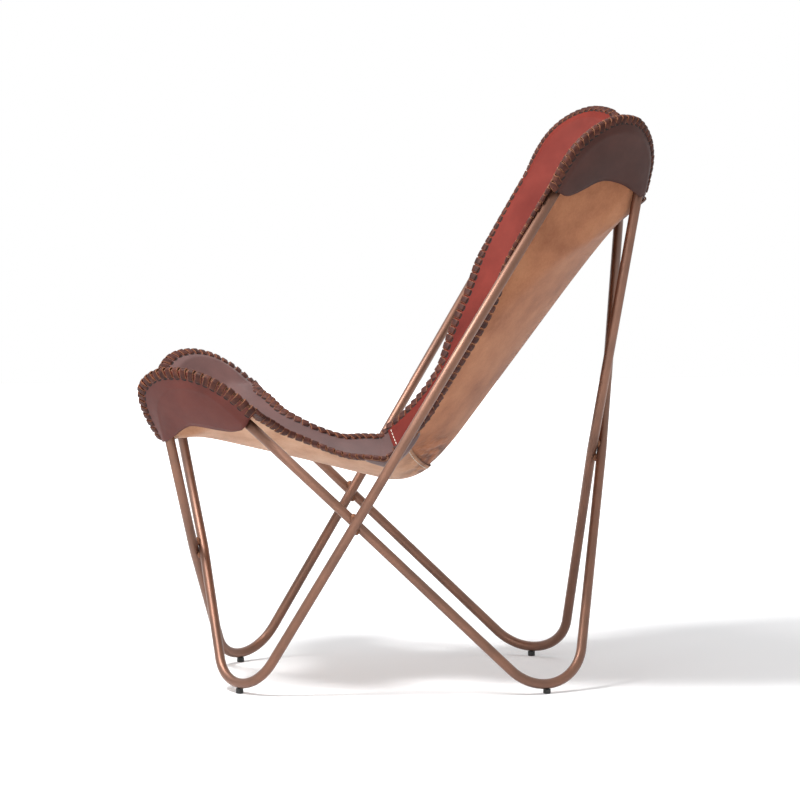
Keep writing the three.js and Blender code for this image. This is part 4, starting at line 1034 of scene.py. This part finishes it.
POCKETS = {}
for end, panel, grain in (("front", seat, FRONT_POCKET_GRAIN), ("rear", back, REAR_POCKET_GRAIN)):
    for sign, side in SIDES.items():
        pocket = make_pocket(end, sign, panel)
        POCKETS[end, sign] = pocket
        node = f"pocket_{end}_{side}"
        sheet = add_sheet("leather_" + node, pocket, [grain, BACK_SUEDE, CUT_EDGE], node)

# The bend patches: a crescent of leather under each side edge of the bend, laced in with it, where the sling
# would tear first.
PATCH_FROM, PATCH_TO, PATCH_WIDE, PATCH_TIP = -30.0, 92.0, 32.0, 8.0
PATCH_ROWS, PATCH_STEPS = 30, 6
for sign, side in SIDES.items():
    rows = []
    for run in np.linspace(PATCH_FROM, PATCH_TO, PATCH_ROWS):
        line = side_line(sign, run)
        t = 2 * (run - PATCH_FROM) / (PATCH_TO - PATCH_FROM) - 1
        width = PATCH_TIP + (PATCH_WIDE - PATCH_TIP) * (1 - t * t)
        rows.append(line[-1] + np.outer(np.linspace(0, width, PATCH_STEPS + 1), unit(line[0] - line[-1])))
    places = np.array(rows)
    patch = facing_down(raised_point(places, np.full(places.shape[:2], -PLY - FIT)), (0, 0, 1))
    node = "bend_patch_" + side
    sheet = add_sheet("leather_" + node, patch, SEAT_FINISH, node)

# The lacing: a flat strap of brown leather with raw tan edges, whipped over every edge of the sling through a
# row of punched holes. Round the rear ears it is pulled tight and slanted, like a rope. Each hole is shown as
# a near-black disc of painted shade laid just above the leather.
LACE_GRAIN = tanned_leather(
    "lace_grain", (44, 21, 16), (74, 37, 28), (108, 60, 44), gloss=(0.48, 0.62), shine=0.2, cloud=70)
LACE_EDGE = fibrous("lace_edge", (70, 38, 25), (150, 92, 58))
# The hole discs are painted shade: near-black, standing in for the shadow down each punched hole.
HOLE_SHADE = fibrous("painted_hole_shade", (14, 9, 8), (34, 20, 16))
LACE_FINISH = [LACE_GRAIN, LACE_EDGE, HOLE_SHADE]
STRAP_STYLES = {
    "front_rim": {"wide": 10.4, "pitch": 14.6, "hole": 13.0, "slant": 1.5},
    "rear_rim": {"wide": 10.2, "pitch": 11.4, "hole": 8.5, "slant": 7.5},
    "free": {"wide": 11.6, "pitch": 13.6, "hole": 11.0, "slant": 6.0},
    "side": {"wide": 12.2, "pitch": 14.2, "hole": 11.0, "slant": 7.0},
}
STRAP_THICK = 1.9
STRAP_OVER_EDGE = 1.4
STRAP_LIFT = 0.6 * STRAP_THICK
EDGE_PROBE = 2.0
STRAP_SECTION = [
    (-0.5, -0.4), (-0.5, 0.2), (-0.42, 0.5), (-0.2, 0.6), (0.2, 0.6), (0.42, 0.5), (0.5, 0.2), (0.5, -0.4),
]
STRAP_SECTION_FINISH = [1, 1, 0, 0, 0, 1, 1, 0]
STRAP_RISES = [(1.0, -1.4), (0.94, 0.1), (0.82, 0.75), (0.6, 0.95), (0.35, 0.95), (0.12, 0.85)]
STRAP_TURNS = [55, 25, 0, -25, -55]
HOLE_SIDES = 12
HOLE_HALF = 2.3
HOLE_PROUD = 0.15
HOLE_PROBE = 0.3
HOLE_INSET_SHARE, HOLE_WIDE_SHARE = 1.04, 0.92


def edge_sampler(points, normals):
    grids = np.concatenate([points, normals], axis=-1)[:, ::-1]
    steps = np.linalg.norm(np.diff(grids[..., :3], axis=1), axis=-1)
    insets = np.concatenate([np.zeros((len(grids), 1)), np.cumsum(steps, axis=1)], axis=1)

    def at(k, inset):
        i = int(np.clip(k, 0, len(grids) - 2))
        here, there = (at_lengths(inset, insets[j], grids[j]) for j in (i, i + 1))
        both = here * (i + 1 - k) + there * (k - i)
        return both[:3], unit(both[3:])

    return at


def strap_stations(top, bottom, number_at, s, style):
    hole, slant, half = style["hole"], style["slant"], LEATHER / 2
    stations = []
    for share, rise in STRAP_RISES:
        point, normal = top(number_at(s - slant * share / 2), hole * share)
        stations.append((point + normal * (half + rise * STRAP_LIFT), normal))
    k = number_at(s)
    (upper, normal), (lower, under) = top(k, 0), bottom(k, 0)
    inside = top(k, EDGE_PROBE)[0]
    out = unit(upper - inside - normal * ((upper - inside) @ normal))
    middle = (upper + normal * half + lower + under * half) / 2
    tall = np.linalg.norm(upper + normal * half - lower - under * half) / 2 + STRAP_THICK / 2
    for turn in STRAP_TURNS:
        c, sn = math.cos(math.radians(turn)), math.sin(math.radians(turn))
        spot = middle + out * c * (STRAP_OVER_EDGE + STRAP_THICK / 2) + normal * sn * tall
        stations.append((spot, unit(out * c + normal * sn)))
    for share, rise in STRAP_RISES[::-1]:
        point, normal = bottom(number_at(s + slant * share / 2), hole * share)
        stations.append((point + normal * (half + rise * STRAP_LIFT), normal))
    return stations


def strap_mesh(stations, wide):
    centres = np.array([point for point, _ in stations])
    ahead = unit_rows(np.gradient(centres, axis=0))
    across = unit_rows(np.cross(ahead, np.array([normal for _, normal in stations])))
    outward = np.cross(across, ahead)
    rings = [centres + across * (a * wide) + outward * (b * STRAP_THICK) for a, b in STRAP_SECTION]
    points = np.stack(rings, axis=1)
    sides = len(STRAP_SECTION)
    grid = np.arange(len(stations) * sides).reshape(-1, sides)
    grid = np.concatenate([grid, grid[:, :1]], axis=1)
    quads = grid_quads(grid)[:, ::-1]
    finish = np.tile(STRAP_SECTION_FINISH, len(stations) - 1)
    ends = [tuple(grid[0, :sides]), tuple(grid[-1, sides - 1::-1])]
    return points.reshape(-1, 3), [tuple(q) for q in quads] + ends, [*finish, 0, 0]


# A near-black disc of painted shade over each hole, just proud of the leather.
def hole_shade_mesh(surface, k, style):
    inset, wide = style["hole"] * HOLE_INSET_SHARE, style["wide"] * HOLE_WIDE_SHARE
    point, normal = surface(k, inset)
    along = unit(surface(k + HOLE_PROBE, inset)[0] - point)
    inward = np.cross(normal, along)
    centre = point + normal * (LEATHER / 2 + HOLE_PROUD)
    turns = 2 * math.pi * np.arange(HOLE_SIDES) / HOLE_SIDES
    ring = centre + np.outer(np.cos(turns), along) * wide / 2 + np.outer(np.sin(turns), inward) * HOLE_HALF
    return ring, [tuple(range(HOLE_SIDES))], [2]


def lace_edge(node, panel, first, last, style_name, pocket=None, flipped=False):
    style = STRAP_STYLES[style_name]
    lines = panel["lines"][first:last + 1, -(RINGS + 1):]
    points, normals = panel["points"][lines], panel["normals"][lines]
    top, bottom = edge_sampler(points, normals), edge_sampler(points, -normals)
    if pocket:
        lines = pocket["lines"][::-1 if flipped else 1, -(RINGS + 1):]
        bottom = edge_sampler(pocket["points"][lines], pocket["normals"][lines])
    lengths = lengths_along(points[:, -1])
    count = round(lengths[-1] / style["pitch"])
    pitch = lengths[-1] / count

    def number_at(s):
        return float(np.interp(s, lengths, np.arange(len(lengths))))

    parts = []
    for i in range(count):
        s = (i + 0.5) * pitch
        parts.append(strap_mesh(strap_stations(top, bottom, number_at, s, style), style["wide"]))
        for surface, turn in ((top, -1), (bottom, 1)):
            parts.append(hole_shade_mesh(surface, number_at(s + turn * style["slant"] / 2), style))
    base, skins, faces, finish = 0, [], [], []
    for part, part_faces, part_finish in parts:
        skins.append(part)
        faces += [tuple(n + base for n in face) for face in part_faces]
        finish += part_finish
        base += len(part)
    add_piece("straps_" + node, np.concatenate(skins), faces, LACE_FINISH, node, finish)


for end, part, panel, start in (("front", "seat", seat, LAP_ROWS - 1), ("rear", "back", back, 0)):
    last = len(panel["lines"]) - 1
    rim_from, rim_to = lobe_numbers(panel, -1)[[0, -1]].tolist()
    rim, right, left = end + "_rim", POCKETS[end, -1], POCKETS[end, 1]
    lace_edge(f"lacing_{rim}_right", panel, rim_from, rim_to, rim, right)
    lace_edge(f"lacing_{rim}_left", panel, last - rim_to, last - rim_from, rim, left, flipped=True)
    lace_edge(f"lacing_{end}_free_edge", panel, rim_to, last - rim_to, "free")
    lace_edge(f"lacing_{part}_side_right", panel, start, rim_from, "side")
    lace_edge(f"lacing_{part}_side_left", panel, last - rim_from, last - start, "side")

# The seam stitching: waxed white thread, one row through both leathers that shows on the sitter's side and
# underneath.
THREAD_R = 0.75
STITCH_PITCH = 10.5
STITCH_SHARE = 0.84
STITCH_FROM_HEM = 6.0
STITCH_STATIONS = 7
STITCH_SIDES = 6
STITCH_END_SHARE = 0.04
THREAD = fibrous(
    "waxed_thread", (196, 186, 168), (240, 234, 222), grain=(900, 3, 0.6), depth=0.0003, dull=0.7)


def sew_row(node, panel, side):
    grid = panel["grid"]
    hem, beyond = panel["points"][grid[0]], panel["points"][grid[2]]
    normals = panel["normals"][grid[1]]
    route = hem + unit_rows(beyond - hem) * STITCH_FROM_HEM + normals * side * (LEATHER / 2 + THREAD_R / 2)
    lengths = lengths_along(route)
    count = round(lengths[-1] / STITCH_PITCH)
    skins, faces = [], []
    for i in range(count):
        t = (i + 0.5 + STITCH_SHARE * np.linspace(-0.5, 0.5, STITCH_STATIONS)) * lengths[-1] / count
        centre = at_lengths(t, lengths, route)
        normal = unit_rows(at_lengths(t, lengths, normals)) * side
        thin = np.sqrt(np.maximum(STITCH_END_SHARE, 1 - np.linspace(-1, 1, STITCH_STATIONS) ** 2))[:, None]
        centre = centre - normal * (1 - thin) * THREAD_R
        across = np.cross(unit_rows(np.gradient(centre, axis=0)), normal)
        for turn in 2 * math.pi * np.arange(STITCH_SIDES) / STITCH_SIDES:
            skins.append(centre + (across * math.cos(turn) + normal * math.sin(turn)) * THREAD_R * thin)
        numbers = (i * STITCH_SIDES + np.arange(STITCH_SIDES))[:, None] * STITCH_STATIONS
        numbers = numbers + np.arange(STITCH_STATIONS)
        faces += grid_quads(np.concatenate([numbers, numbers[:1]])).tolist()
        faces += [numbers[:, 0].tolist(), numbers[::-1, -1].tolist()]
    add_piece("thread_" + node, np.concatenate(skins), faces, [THREAD], node)


sew_row("seam_stitching_inside", back, 1)
sew_row("seam_stitching_outside", seat, -1)
